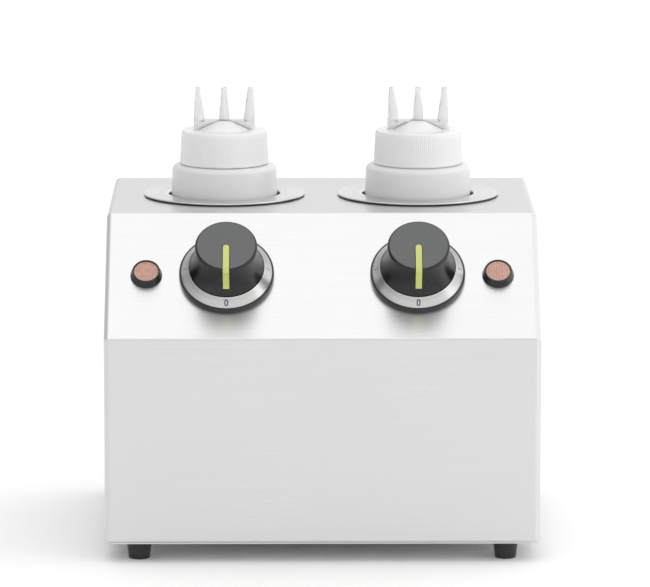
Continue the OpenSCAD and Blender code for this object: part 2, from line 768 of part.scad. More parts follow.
module power_inlet() {
    color(black) translate([inlet_x, back_y + panel_t, inlet_z]) difference() {
        union() {
            rotate([-90, 0, 0]) linear_extrude(inlet_flange_t) difference() {
                round_box([-25, -inlet_h / 2 - 3.2], [25, inlet_h / 2 + 3.2], 5);
                for (sx = [-1, 1]) translate([sx * inlet_screw_pitch / 2, 0]) circle(r = 1.6);
            }
            translate([-inlet_w / 2 - 1.5, -inlet_depth, -inlet_h / 2 - 1.5])
                cube([inlet_w + 3, inlet_depth + eps, inlet_h + 3]);
        }
        translate([0, inlet_flange_t + eps, 0]) rotate([90, 0, 0])
            linear_extrude(inlet_depth + inlet_flange_t - 2)
            polygon([[-inlet_w / 2, -inlet_h / 2], [inlet_w / 2, -inlet_h / 2], [inlet_w / 2, 3.5],
                [inlet_w / 2 - 5, inlet_h / 2], [-inlet_w / 2 + 5, inlet_h / 2], [-inlet_w / 2, 3.5]]);
        for (p = pin_xz)
            translate([p[0] - 1, -inlet_depth - 1, p[1] - 2]) cube([2, 5, 4]);
        for (sx = [-1, 1])
            translate([sx * inlet_screw_pitch / 2, inlet_flange_t + eps, 0]) rotate([90, 0, 0])
                cylinder(r1 = 3.1, r2 = 1.6, h = 1.6);
    }
}

module inlet_pins() {
    color("#c9b06a") translate([inlet_x, back_y + panel_t, inlet_z]) for (p = pin_xz)
        translate([p[0] - 1, -inlet_depth - pin_out, p[1] - 2]) cube([2, pin_l, 4]);
}

module inlet_screws() {
    color(zinc) for (sx = [-1, 1])
        translate([inlet_x + sx * inlet_screw_pitch / 2, back_y + panel_t + inlet_flange_t, inlet_z])
            rotate([90, 0, 0]) {
                cylinder(r1 = 3, r2 = 1.5, h = 1.5);
                cylinder(r = 1.5, h = 10);
            }
}

module terminal_block() {
    color(nylon) translate([block_at[0], block_at[1], body_z]) difference() {
        translate([-2.5 * block_pole, -9, 0]) cube([5 * block_pole, 18, block_h]);
        for (i = [-2:2]) {
            translate([i * block_pole, 0, 5]) cylinder(r = 2.4, h = 20);
            translate([i * block_pole, -20, 8]) rotate([-90, 0, 0]) cylinder(r = 1.6, h = 40);
        }
        for (sx = [-1, 1]) translate([sx * 1.5 * block_pole, 0, -1]) cylinder(r = 1.5, h = 20);
    }
}

module earth_stud() {
    color(zinc) translate([earth_at[0], earth_at[1], 0]) {
        translate([0, 0, foot_h - 1.2]) cylinder(r = 4.2, h = 1.2);
        translate([0, 0, foot_h - eps]) cylinder(r = 2.5, h = earth_l);
        translate([0, 0, body_z]) cylinder(r = 4.5, h = 4, $fn = 6);
    }
}

// The supply from the inlet to the terminal block and the earth stud
module supply_wires() {
    from_y = pin_back - 6;
    wire([pin_end(0), pin_end(0) - [0, 6, 0], [inlet_x - 13, from_y - 2, inlet_z - 12],
        [block_pole + 4, block_front - 9, block_z + 8], [block_pole, block_front - 9, block_z],
        [block_pole, block_front, block_z]], supply_r);
    wire([pin_end(1), pin_end(1) - [0, 6, 0], [inlet_x + 1, from_y - 2, inlet_z - 16],
        [2 * block_pole + 6, block_front - 13, block_z + 2],
        [2 * block_pole, block_front - 11, block_z], [2 * block_pole, block_front, block_z]],
        supply_r);
    wire([pin_end(2), pin_end(2) - [0, 5, 0], [earth_at[0] + 14, earth_at[1] - 8, inlet_z + 6],
        [earth_at[0], earth_at[1], inlet_z], [earth_at[0], earth_at[1], foot_h + earth_l + 0.4]],
        supply_r);
}

// The feed from the terminal block to one thermostat, low between the wells and up to the panel
module feed_wire(side) {
    pole_x = side > 0 ? 0 : -2 * block_pole;
    tab_x = side * (knob_pitch / 2 - stat_tab_x);
    wire([[pole_x, block_front, block_z], [pole_x, block_front - 7, block_z],
        [side * 6, block_front - 13, body_z + 50], [side * 6, well_y - 15, body_z + 54],
        [side * 12, well_y - 71, body_z + 90], [tab_x, wire_top[0] + 12, wire_top[1] - 16],
        [tab_x, wire_top[0], wire_top[1]]], feed_r);
}

// From one thermostat to its heater by way of the cut-out
module heater_wire(side) {
    tab_x = side * (knob_pitch / 2 + stat_tab_x);
    end_x = side * (well_x + cutout_tab_x);
    tab_y = well_y - well_r - well_t - cutout_out - tab_gap;
    tab_z = cutout_z + cutout_tab_z + 0.4;
    wire([[tab_x, wire_top[0], wire_top[1]], [tab_x, wire_top[0] + 8, wire_top[1] - 9],
        [side * (well_x + 19.5), tab_y - 20.7, tab_z - 41], [end_x, tab_y - 4.7, tab_z - 45],
        [end_x, tab_y - 7.7, tab_z - 7], [end_x, tab_y - 5.7, tab_z], [end_x, tab_y, tab_z]],
        heater_wire_r);
}

// From one lamp to its thermostat
module lamp_wire(side) {
    lamp_x = side * (lamp_pitch / 2 - lamp_tab_x);
    tab_x = side * (knob_pitch / 2 + stat_tab_x);
    wire([[lamp_x, lamp_tab[0], lamp_tab[1]], [lamp_x, lamp_tab[0] + 5, lamp_tab[1] - 6],
        [side * 98, lamp_tab[0] + 16, lamp_tab[1] - 6], [tab_x, wire_low[0] + 8, wire_low[1] - 8],
        [tab_x, wire_low[0], wire_low[1]]], lamp_wire_r);
}

module wiring() {
    color("#c9c4b8") {
        supply_wires();
        for (side = [left, right]) {
            feed_wire(side);
            heater_wire(side);
            lamp_wire(side);
        }
    }
}

// ---------------------------------------------------------------- bottles

// A right-hand thread bead on a cylinder of radius r, standing out (grow > 0) or in (grow < 0)
module thread_bead(r, grow, z) {
    steps = 24;
    n = floor(thread_turns * steps);
    bury = -0.4 * sign(grow);
    order = grow > 0 ? [0, 1, 2, 3] : [3, 2, 1, 0];
    sweep([for (i = [0:n]) let (a = 360 * i / steps, crest = grow * min(1, min(i, n - i) / 3 + 0.02),
            q = [[bury, bead_w / 2], [crest, bead_w / 4], [crest, -bead_w / 4], [bury, -bead_w / 2]])
        [for (k = order) [(r + q[k][0]) * cos(a), (r + q[k][0]) * sin(a),
            z + thread_pitch * i / steps + q[k][1]]]]);
}

// The squeeze bottle: a round-cornered jar with a threaded neck, open at the top
module bottle(side) {
    base_r = 5;
    inner = bottle_r - bottle_t;
    s = shoulder_round;
    neck_top = shoulder_z + neck_h;
    color("#f1f1ee", 0.6) at_well(side) {
        rotate_extrude() polygon(concat(
            [[0, bottle_z + 1.5], [bottle_r - base_r - 4, bottle_z]],
            arc([bottle_r - base_r, bottle_z + base_r], base_r, -90, 0),
            [[bottle_r, top_z - 20]],
            arc([bottle_r - 0.7 - s, shoulder_z - s], s, 0, 90),
            [[neck_r, shoulder_z], [neck_r, neck_top], [neck_r - neck_t, neck_top],
            [neck_r - neck_t, shoulder_z - bottle_t]],
            arc([bottle_r - 0.7 - s, shoulder_z - s], s - bottle_t, 90, 0),
            [[inner, top_z - 20]],
            arc([bottle_r - base_r, bottle_z + base_r], base_r - bottle_t, 0, -90),
            [[bottle_r - base_r - 4, bottle_z + bottle_t], [0, bottle_z + bottle_t + 1.5]]));
        thread_bead(neck_r, bead_h, shoulder_z + 5.2);
    }
}

module cap_seal(side) {
    color(nylon) at_well(side) translate([0, 0, shoulder_z + neck_h])
        ring(neck_r - neck_t - 0.4, neck_r + 0.3, seal_t);
}

// A hollow cone of the nozzle, or the bore inside it
module nozzle_cone(i, wall) {
    translate([i * nozzle_pitch, 0, 0]) rotate([0, i * nozzle_lean, 0])
        cylinder(r1 = nozzle_base_r - wall, r2 = nozzle_tip_r - wall, h = nozzle_h);
}

// The screw cap: a tapered skirt, a low dome crossed by a hollow ridge, and three nozzles
module cap(side) {
    roof_z = cap_top_z - cap_roof_t;
    ridge_z = cap_top_z + ridge_h;
    color("#f4f4f1", 0.6) at_well(side) {
        difference() {
            union() {
                rotate_extrude() polygon(concat([[cap_in_r, cap_z], [cap_r, cap_z], [cap_r, cap_z + 0.6]],
                    [[cap_top_r + 0.5, cap_top_z - 4]],
                    arc([cap_top_r - 0.6, cap_top_z - 0.6], 0.6, 0, 90, 4),
                    [[0, cap_top_z], [0, roof_z], [cap_in_r, roof_z]]));
                translate([0, 0, cap_top_z - eps]) cylinder(r1 = 17, r2 = 5.4, h = ridge_h - 0.4);
                translate([0, 0, cap_top_z - eps]) linear_extrude(ridge_h)
                    round_box([-ridge_l / 2, -ridge_w / 2], [ridge_l / 2, ridge_w / 2], ridge_w / 2 - eps);
                for (i = [-1:1]) translate([0, 0, ridge_z - eps]) nozzle_cone(i, 0);
            }
            translate([0, 0, roof_z - eps]) linear_extrude(ridge_h + cap_roof_t - 1.4)
                round_box([-ridge_l / 2 + 1.2, -ridge_w / 2 + 1.2],
                    [ridge_l / 2 - 1.2, ridge_w / 2 - 1.2],
                    ridge_w / 2 - 1.2 - eps);
            translate([0, 0, roof_z - eps]) cylinder(r1 = 17, r2 = 4, h = ridge_h - 0.6);
            for (i = [-1:1]) translate([0, 0, ridge_z - 1.6]) nozzle_cone(i, nozzle_wall);
            for (i = [-1:1]) translate([i * (nozzle_pitch + 1), 0, ridge_z + nozzle_h - 3])
                cylinder(r = nozzle_tip_r - nozzle_wall - 0.1, h = 5);
        }
        thread_bead(cap_in_r, -bead_h, shoulder_z + 5.2 + thread_pitch / 2);
    }
}

// ---------------------------------------------------------------- the parts

housing_shell();
back_panel();
base_plate();
tie_bracket();
foot(-foot_x, foot_ys[0]);  // foot_front_left
foot(foot_x, foot_ys[0]);  // foot_front_right
foot(-foot_x, foot_ys[1]);  // foot_rear_left
foot(foot_x, foot_ys[1]);  // foot_rear_right
foot_screws();
base_screws();
back_screws();
m4_nuts();
well_nuts();
flange_gasket(left);  // flange_gasket_left
flange_gasket(right);  // flange_gasket_right
well(left);  // well_left
well(right);  // well_right
heater_band(left);  // heater_band_left
heater_band(right);  // heater_band_right
heater_clamp(left);  // heater_clamp_left
heater_clamp(right);  // heater_clamp_right
clamp_screws();
insulation(left);  // insulation_left
insulation(right);  // insulation_right
thermal_cutout(left);  // thermal_cutout_left
thermal_cutout(right);  // thermal_cutout_right
thermostat(left);  // thermostat_left
thermostat(right);  // thermostat_right
thermostat_screws();
thermostat_shaft(left);  // thermostat_shaft_left
thermostat_shaft(right);  // thermostat_shaft_right
sensor(left);  // sensor_left
sensor(right);  // sensor_right
dial_base(left);  // dial_base_left
dial_base(right);  // dial_base_right
dial_ring(left);  // dial_ring_left
dial_ring(right);  // dial_ring_right
knob(left);  // knob_left
knob(right);  // knob_right
knob_pointer(left);  // knob_pointer_left
knob_pointer(right);  // knob_pointer_right
lamp_bezel(left);  // lamp_bezel_left
lamp_bezel(right);  // lamp_bezel_right
lamp_lens(left);  // lamp_lens_left
lamp_lens(right);  // lamp_lens_right
lamp_holder(left);  // lamp_holder_left
lamp_holder(right);  // lamp_holder_right
power_inlet();
inlet_pins();
inlet_screws();
terminal_block();
earth_stud();
wiring();
bottle(left);  // bottle_left
bottle(right);  // bottle_right
cap_seal(left);  // cap_seal_left
cap_seal(right);  // cap_seal_right
cap(left);  // cap_left
cap(right);  // cap_right
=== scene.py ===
"""Looks, light and camera for a twin heated sauce-bottle warmer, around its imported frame.

Metres, +Z up, the controls face -Y. Every mesh is made in the frame's own coordinates, so a
texture's object coordinates are metres on the real object. Sizes are given in millimetres.
"""

import json
import logging
import math
from abc import ABC, abstractmethod
from collections.abc import Callable, Iterable, Sequence
from dataclasses import dataclass
from enum import Enum

import bpy
from mathutils import Matrix, Vector


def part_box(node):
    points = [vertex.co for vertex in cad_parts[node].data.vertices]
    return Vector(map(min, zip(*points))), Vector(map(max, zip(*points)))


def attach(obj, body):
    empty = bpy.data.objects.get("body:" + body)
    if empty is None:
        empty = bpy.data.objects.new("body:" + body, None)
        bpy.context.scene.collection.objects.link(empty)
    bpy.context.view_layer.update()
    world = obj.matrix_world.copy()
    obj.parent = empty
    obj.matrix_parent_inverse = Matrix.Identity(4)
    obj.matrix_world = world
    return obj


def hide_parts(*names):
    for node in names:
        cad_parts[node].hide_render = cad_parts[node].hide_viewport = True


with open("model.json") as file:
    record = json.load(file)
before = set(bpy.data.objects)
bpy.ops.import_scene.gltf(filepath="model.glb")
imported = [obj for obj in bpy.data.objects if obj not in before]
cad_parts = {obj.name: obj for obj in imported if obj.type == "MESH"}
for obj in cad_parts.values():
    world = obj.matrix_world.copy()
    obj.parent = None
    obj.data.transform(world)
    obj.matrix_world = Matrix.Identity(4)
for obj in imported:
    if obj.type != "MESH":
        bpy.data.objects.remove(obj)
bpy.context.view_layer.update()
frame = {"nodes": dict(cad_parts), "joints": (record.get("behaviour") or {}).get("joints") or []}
MM = 0.001
LOG = logging.getLogger("warmer")
# A profile point nearer the axis than this, in millimetres, stands on it
ON_AXIS = 1e-6
# Radii and heights nearer each other than this, in millimetres, count as the same
SAME = 0.01
# Most of a noise pattern lies between these values: inputs 1 and 2 of a map range
NOISE_RANGE = {1: 0.3, 2: 0.7}

Socket = bpy.types.NodeSocket
Tree = bpy.types.NodeTree
Piece = bpy.types.Object
Pair = tuple[float, float]
Triple = tuple[float, float, float]
Profile = list[Pair]
MeshData = tuple[list[Vector], list[list[int]]]
Reshape = Callable[[float, float, float], float]


class Side(Enum):
    """The two halves of the warmer, as seen by someone facing the controls."""

    LEFT = "left"
    RIGHT = "right"


class Lay(Enum):
    """Which way the scratches run on worked metal."""

    STRAIGHT = "straight"
    TURNED = "turned"


# ------------------------------------------------------------------ node and mesh helpers


def linear(code: str) -> tuple[float, float, float, float]:
    """Turns an sRGB hex code into linear light.

    Args:
        code: Six hex digits after a hash.

    Returns:
        Linear red, green and blue, and an alpha of 1.
    """
    parts = [int(code[i : i + 2], 16) / 255 for i in (1, 3, 5)]
    red, green, blue = (
        c / 12.92 if c <= 0.04045 else ((c + 0.055) / 1.055) ** 2.4 for c in parts
    )
    return red, green, blue, 1.0


def add_node(tree: Tree, kind: str, inputs: dict | None = None, **settings: object) -> bpy.types.Node:
    """Adds a node with its settings, and fills or links its inputs.

    Args:
        tree: The tree the node goes in.
        kind: The node's Blender type name.
        inputs: Input name or index to a socket to link, a hex colour, or a plain value.
        **settings: The node's own properties.

    Returns:
        The new node.
    """
    node = tree.nodes.new(kind)
    for name, value in settings.items():
        setattr(node, name, value)
    for key, value in (inputs or {}).items():
        if isinstance(value, bpy.types.NodeSocket):
            tree.links.new(value, node.inputs[key])
        else:
            node.inputs[key].default_value = linear(value) if isinstance(value, str) else value
    return node


def two_tone(tree: Tree, pattern: Socket, dark: str, light: str) -> Socket:
    """Mixes two colours by a noise pattern.

    Args:
        tree: The tree to add to.
        pattern: The noise.
        dark: The colour where it is low.
        light: The colour where it is high.

    Returns:
        The mixed colour.
    """
    tone = add_node(tree, "ShaderNodeMapRange", {0: pattern, **NOISE_RANGE, 3: 0.0, 4: 1.0}).outputs[0]
    return add_node(tree, "ShaderNodeMix", {0: tone, 6: dark, 7: light}, data_type="RGBA").outputs[2]


def turn(profile: Sequence[Pair], steps: int, reshape: Reshape | None = None) -> MeshData:
    """Turns a profile about the Z axis.

    Args:
        profile: Pairs of radius and height in millimetres, up the outside and down the inside.
        steps: How many points each ring has.
        reshape: Gives the radius to use at an angle, radius and height.

    Returns:
        Points in millimetres, and faces.
    """
    points: list[Vector] = []
    rings: list[list[int]] = []
    for radius, height in profile:
        if radius < ON_AXIS:
            rings.append([len(points)] * steps)
            points.append(Vector((0, 0, height)))
            continue
        rings.append(list(range(len(points), len(points) + steps)))
        for k in range(steps):
            angle = 2 * math.pi * k / steps
            r = reshape(angle, radius, height) if reshape else radius
            points.append(Vector((r * math.cos(angle), r * math.sin(angle), height)))
    faces = []
    for low, high in zip(rings, rings[1:]):
        for k in range(steps):
            n = (k + 1) % steps
            face = list(dict.fromkeys([low[k], low[n], high[n], high[k]]))
            if len(face) > 2:
                faces.append(face)
    return points, faces


def prism(outline: Sequence[Pair], low: float, high: float) -> MeshData:
    """Makes an upright prism.

    Args:
        outline: Points across and along, counterclockwise, in millimetres.
        low: Height of its foot.
        high: Height of its top.

    Returns:
        Points in millimetres, and faces.
    """
    n = len(outline)
    points = [Vector((x, y, z)) for z in (low, high) for x, y in outline]
    faces = [[k, (k + 1) % n, n + (k + 1) % n, n + k] for k in range(n)]
    faces += [list(range(n - 1, -1, -1)), list(range(n, 2 * n))]
    return points, faces


def gather(parts: Iterable[MeshData]) -> MeshData:
    """Puts several meshes together as one.

    Args:
        parts: Points and faces of each.

    Returns:
        All the points, and the faces numbered to match.
    """
    points: list[Vector] = []
    faces: list[list[int]] = []
    for more, rings in parts:
        faces += [[len(points) + k for k in ring] for ring in rings]
        points += more
    return points, faces


def arc(centre: Pair, r: float, start: float, end: float, steps: int = 8) -> Profile:
    """Returns points of an arc, in a profile or an outline.

    Args:
        centre: Its centre.
        r: Its radius.
        start: Where it starts, in degrees from the first of the two directions.
        end: Where it ends.
        steps: How many pieces it is cut into.

    Returns:
        Pairs of radius and height, or of across and along.
    """
    angles = [math.radians(start + (end - start) * i / steps) for i in range(steps + 1)]
    return [(centre[0] + r * math.cos(a), centre[1] + r * math.sin(a)) for a in angles]


def stadium(length: float, width: float) -> Profile:
    """Returns a flat oval along X, of this length and width, with round ends."""
    half, r = (length - width) / 2, width / 2
    return arc((half, 0.0), r, -90, 90, 16) + arc((-half, 0.0), r, 90, 270, 16)


def oblong(length: float, width: float) -> Profile:
    """Returns the corners of an oblong of this length along X and this width."""
    return [(x * length / 2, y * width / 2) for x, y in ((-1, -1), (1, -1), (1, 1), (-1, 1))]


def climb(start: Pair, end: Pair, step: float) -> Profile:
    """Returns evenly spaced points of a straight stretch of a profile, both ends included."""
    count = max(1, round(math.dist(start, end) / step))
    return [tuple(a + (b - a) * i / count for a, b in zip(start, end)) for i in range(count + 1)]


def new_object(name: str, data: MeshData, place: Matrix, crease: float = 32.0) -> Piece:
    """Makes an object whose mesh is already in place.

    Args:
        name: The object's name.
        data: Points in millimetres in their own frame, and faces.
        place: That frame's place in the row frame.
        crease: Edges sharper than this, in degrees, stay sharp.

    Returns:
        The object, standing at the origin.
    """
    mesh = bpy.data.meshes.new(name)
    mesh.from_pydata([place @ (p * MM) for p in data[0]], [], data[1])
    mesh.validate()
    mesh.shade_smooth()
    mesh.set_sharp_from_angle(angle=math.radians(crease))
    obj = bpy.data.objects.new(name, mesh)
    bpy.context.scene.collection.objects.link(obj)
    return obj


def combine(base: Piece, tools: Sequence[tuple[Piece, str]], crease: float) -> Piece:
    """Joins and cuts solids into one mesh.

    Args:
        base: The solid that stays.
        tools: Each other solid with UNION or DIFFERENCE. They are removed afterwards.
        crease: Edges sharper than this, in degrees, stay sharp.

    Returns:
        The base object with its new mesh.
    """
    for tool, operation in tools:
        step = base.modifiers.new(tool.name, "BOOLEAN")
        step.operation, step.object, step.solver = operation, tool, "EXACT"
    graph = bpy.context.evaluated_depsgraph_get()
    mesh = bpy.data.meshes.new_from_object(base.evaluated_get(graph))
    base.modifiers.clear()
    base.data = mesh
    for tool, _ in tools:
        bpy.data.objects.remove(tool)
    mesh.shade_smooth()
    mesh.set_sharp_from_angle(angle=math.radians(crease))
    return base


# ------------------------------------------------------------------ finishes


@dataclass(frozen=True)
class Finish(ABC):
    """A material, named for what it really is and how its surface was made."""

    name: str

    @abstractmethod
    def shader(self, tree: Tree) -> Socket:
        """Adds the finish's nodes and returns the shader's output."""

    def volume(self, tree: Tree) -> Socket | None:
        """Adds what happens to light inside the finish. Most finishes let none in."""
        return None

    def material(self) -> bpy.types.Material:
        """Makes the material the first time it is asked for.

        Returns:
            The material.
        """
        found = bpy.data.materials.get(self.name)
        if found:
            return found
        made = bpy.data.materials.new(self.name)
        made.use_nodes = True
        made.node_tree.nodes.clear()
        ends = {"Surface": self.shader(made.node_tree), "Volume": self.volume(made.node_tree)}
        linked = {name: socket for name, socket in ends.items() if socket}
        add_node(made.node_tree, "ShaderNodeOutputMaterial", linked)
        return made

    def dress(self, *nodes: str) -> list[Piece]:
        """Puts the finish on CAD nodes.

        Args:
            *nodes: The nodes' names.

        Returns:
            Their objects.
        """
        pieces = [frame["nodes"][node] for node in nodes]
        for piece in pieces:
            piece.data.materials.clear()
            piece.data.materials.append(self.material())
        return pieces


@dataclass(frozen=True)
class WorkedMetal(Finish):
    """Metal with the fine parallel scratches of a belt or of a lathe tool."""

    dark: str
    light: str
    roughness: float
    scratch_mm: float
    length_mm: float
    lay: Lay = Lay.STRAIGHT
    centre: Triple = (0.0, 0.0, 0.0)
    axis: Triple = (0.0, 0.0, 1.0)
    anisotropy: float = 0.6
    relief_mm: float = 0.004
    handled_mm: float = 70.0
    # A face whose normal leans at least this far along X is a side, brushed front to back
    side_from: float = 0.75

    def scratches(self, tree: Tree, point: Socket) -> tuple[Socket, Socket]:
        """Lays out the scratches.

        Args:
            tree: The tree to add to.
            point: Where the surface is, in metres.

        Returns:
            Coordinates that change fast across a scratch, and the way a scratch runs.
        """
        fine, slow = 1 / (self.scratch_mm * MM), 1 / (self.length_mm * MM)
        if self.lay is Lay.TURNED:
            off = add_node(tree, "ShaderNodeVectorMath", {0: point, 1: self.centre}, operation="SUBTRACT")
            round_way = add_node(
                tree, "ShaderNodeVectorMath", {0: self.axis, 1: off.outputs[0]}, operation="CROSS_PRODUCT"
            )
            out = add_node(tree, "ShaderNodeVectorMath", {0: round_way.outputs[0]}, operation="LENGTH")
            up = add_node(
                tree, "ShaderNodeVectorMath", {0: self.axis, 1: off.outputs[0]}, operation="DOT_PRODUCT"
            )
            across = add_node(tree, "ShaderNodeSeparateXYZ", {0: off.outputs[0]})
            flat = add_node(
                tree, "ShaderNodeCombineXYZ", {0: out.outputs[1], 1: up.outputs[1], 2: across.outputs[0]}
            )
            laid = add_node(
                tree,
                "ShaderNodeVectorMath",
                {0: flat.outputs[0], 1: (fine, fine, slow)},
                operation="MULTIPLY",
            )
            return laid.outputs[0], round_way.outputs[0]
        facing = add_node(tree, "ShaderNodeTexCoord").outputs["Normal"]
        sideways = add_node(tree, "ShaderNodeSeparateXYZ", {0: facing}).outputs[0]
        steep = add_node(tree, "ShaderNodeMath", {0: sideways}, operation="ABSOLUTE").outputs[0]
        on_side = add_node(
            tree, "ShaderNodeMath", {0: steep, 1: self.side_from}, operation="GREATER_THAN"
        ).outputs[0]
        scale = add_node(
            tree,
            "ShaderNodeMix",
            {0: on_side, 4: (slow, fine, fine), 5: (fine, slow, fine)},
            data_type="VECTOR",
        ).outputs[1]
        way = add_node(
            tree, "ShaderNodeMix", {0: on_side, 4: (1, 0, 0), 5: (0, 1, 0)}, data_type="VECTOR"
        ).outputs[1]
        laid = add_node(tree, "ShaderNodeVectorMath", {0: point, 1: scale}, operation="MULTIPLY")
        return laid.outputs[0], way

    def shader(self, tree: Tree) -> Socket:
        """Adds the finish's nodes.

        Args:
            tree: The tree to add to.

        Returns:
            The shader's output.
        """
        point = add_node(tree, "ShaderNodeTexCoord").outputs["Object"]
        normal = add_node(tree, "ShaderNodeNewGeometry").outputs["Normal"]
        laid, way = self.scratches(tree, point)
        fine = add_node(
            tree, "ShaderNodeTexNoise", {"Vector": laid, "Scale": 1.0, "Detail": 2.0, "Roughness": 0.6}
        ).outputs[0]
        broad = add_node(
            tree, "ShaderNodeTexNoise", {"Vector": laid, "Scale": 0.22, "Detail": 3.0, "Roughness": 0.65}
        ).outputs[0]
        handled = add_node(
            tree, "ShaderNodeTexNoise", {"Vector": point, "Scale": 1 / (self.handled_mm * MM), "Detail": 3.0}
        ).outputs[0]
        colour = two_tone(tree, broad, self.dark, self.light)
        worn = add_node(tree, "ShaderNodeMath", {0: fine, 1: handled}, operation="ADD").outputs[0]
        rough = add_node(
            tree,
            "ShaderNodeMapRange",
            {0: worn, 1: 0.7, 2: 1.3, 3: self.roughness - 0.02, 4: self.roughness + 0.03},
        ).outputs[0]
        bump = add_node(
            tree, "ShaderNodeBump", {"Strength": 0.5, "Distance": self.relief_mm * MM, "Height": fine}
        ).outputs[0]
        stretch = add_node(
            tree, "ShaderNodeVectorMath", {0: normal, 1: way}, operation="CROSS_PRODUCT"
        ).outputs[0]
        return add_node(
            tree,
            "ShaderNodeBsdfPrincipled",
            {
                "Base Color": colour,
                "Metallic": 1.0,
                "Roughness": rough,
                "Anisotropic": self.anisotropy,
                "Tangent": stretch,
                "Normal": bump,
            },
        ).outputs[0]


@dataclass(frozen=True)
class PlatedMetal(Finish):
    """Plated or bare stampings, rod and screws, with a mottled skin."""

    dark: str
    light: str
    roughness: float
    mottle_mm: float
    grain_mm: float = 0.5
    relief_mm: float = 0.01

    def shader(self, tree: Tree) -> Socket:
        """Adds the finish's nodes.

        Args:
            tree: The tree to add to.

        Returns:
            The shader's output.
        """
        point = add_node(tree, "ShaderNodeTexCoord").outputs["Object"]
        patches = add_node(
            tree, "ShaderNodeTexVoronoi", {"Vector": point, "Scale": 1 / (self.mottle_mm * MM)}
        ).outputs["Color"]
        grain = add_node(
            tree, "ShaderNodeTexNoise", {"Vector": point, "Scale": 1 / (self.grain_mm * MM), "Detail": 3.0}
        ).outputs[0]
        tone = add_node(tree, "ShaderNodeSeparateXYZ", {0: patches}).outputs[0]
        colour = add_node(
            tree, "ShaderNodeMix", {0: tone, 6: self.dark, 7: self.light}, data_type="RGBA"
        ).outputs[2]
        rough = add_node(
            tree,
            "ShaderNodeMapRange",
            {0: grain, **NOISE_RANGE, 3: self.roughness - 0.06, 4: self.roughness + 0.08},
        ).outputs[0]
        bump = add_node(
            tree, "ShaderNodeBump", {"Strength": 0.4, "Distance": self.relief_mm * MM, "Height": grain}
        ).outputs[0]
        return add_node(
            tree,
            "ShaderNodeBsdfPrincipled",
            {"Base Color": colour, "Metallic": 1.0, "Roughness": rough, "Normal": bump},
        ).outputs[0]


@dataclass(frozen=True)
class Moulded(Finish):
    """Moulded plastic or rubber, with the grain of its mould."""

    dark: str
    light: str
    roughness: float
    ior: float
    grain_mm: float
    relief_mm: float
    sheen: float = 0.0
    flow_mm: float = 9.0

    def shader(self, tree: Tree) -> Socket:
        """Adds the finish's nodes.

        Args:
            tree: The tree to add to.

        Returns:
            The shader's output.
        """
        point = add_node(tree, "ShaderNodeTexCoord").outputs["Object"]
        grain = add_node(
            tree,
            "ShaderNodeTexNoise",
            {"Vector": point, "Scale": 1 / (self.grain_mm * MM), "Detail": 2.0, "Roughness": 0.55},
        ).outputs[0]
        flow = add_node(
            tree, "ShaderNodeTexNoise", {"Vector": point, "Scale": 1 / (self.flow_mm * MM), "Detail": 3.0}
        ).outputs[0]
        colour = two_tone(tree, flow, self.dark, self.light)
        rough = add_node(
            tree,
            "ShaderNodeMapRange",
            {0: flow, **NOISE_RANGE, 3: self.roughness - 0.04, 4: self.roughness + 0.05},
        ).outputs[0]
        bump = add_node(
            tree, "ShaderNodeBump", {"Strength": 0.6, "Distance": self.relief_mm * MM, "Height": grain}
        ).outputs[0]
        return add_node(
            tree,
            "ShaderNodeBsdfPrincipled",
            {
                "Base Color": colour,
                "Roughness": rough,
                "IOR": self.ior,
                "Sheen Weight": self.sheen,
                "Normal": bump,
            },
        ).outputs[0]


@dataclass(frozen=True)
class FacedKnob(Finish):
    """Black phenolic knob: a spark-textured flat face, and a polished skirt around it. The face's lighter
    grey is painted sheen from the overhead light; its texture and rougher finish are real.
    """

    skirt: str
    # The face's colour, lighter than the skirt: painted sheen from the overhead light
    face: str
    axis: Triple
    skirt_roughness: float = 0.24
    face_roughness: float = 0.5
    ior: float = 1.5
    # The skirt turns into the face between these cosines of the angle to the knob's axis
    face_cosines: Pair = (0.93, 0.99)
    pit_mm: float = 0.35
    pit_depth_mm: float = 0.03
    handled_mm: float = 12.0

    def shader(self, tree: Tree) -> Socket:
        """Adds the finish's nodes.

        Args:
            tree: The tree to add to.

        Returns:
            The shader's output.
        """
        coords = add_node(tree, "ShaderNodeTexCoord")
        facing = add_node(
            tree,
            "ShaderNodeVectorMath",
            {0: coords.outputs["Normal"], 1: self.axis},
            operation="DOT_PRODUCT",
        ).outputs[1]
        on_face = add_node(
            tree,
            "ShaderNodeMapRange",
            {0: facing, 1: self.face_cosines[0], 2: self.face_cosines[1], 3: 0.0, 4: 1.0},
        ).outputs[0]
        pits = add_node(
            tree,
            "ShaderNodeTexNoise",
            {"Vector": coords.outputs["Object"], "Scale": 1 / (self.pit_mm * MM), "Detail": 2.0},
        ).outputs[0]
        handled = add_node(
            tree,
            "ShaderNodeTexNoise",
            {"Vector": coords.outputs["Object"], "Scale": 1 / (self.handled_mm * MM), "Detail": 4.0},
        ).outputs[0]
        # Painted sheen: the face, turned up towards the overhead light, gets the lighter grey
        colour = add_node(
            tree, "ShaderNodeMix", {0: on_face, 6: self.skirt, 7: self.face}, data_type="RGBA"
        ).outputs[2]
        base_rough = add_node(
            tree,
            "ShaderNodeMapRange",
            {0: on_face, 1: 0.0, 2: 1.0, 3: self.skirt_roughness, 4: self.face_roughness},
        ).outputs[0]
        worn = add_node(
            tree, "ShaderNodeMapRange", {0: handled, **NOISE_RANGE, 3: -0.04, 4: 0.05}
        ).outputs[0]
        rough = add_node(tree, "ShaderNodeMath", {0: base_rough, 1: worn}, operation="ADD").outputs[0]
        depth = add_node(
            tree, "ShaderNodeMapRange", {0: on_face, 1: 0.0, 2: 1.0, 3: 0.05, 4: 0.6}
        ).outputs[0]
        bump = add_node(
            tree, "ShaderNodeBump", {"Strength": depth, "Distance": self.pit_depth_mm * MM, "Height": pits}
        ).outputs[0]
        return add_node(
            tree,
            "ShaderNodeBsdfPrincipled",
            {"Base Color": colour, "Roughness": rough, "IOR": self.ior, "Normal": bump},
        ).outputs[0]


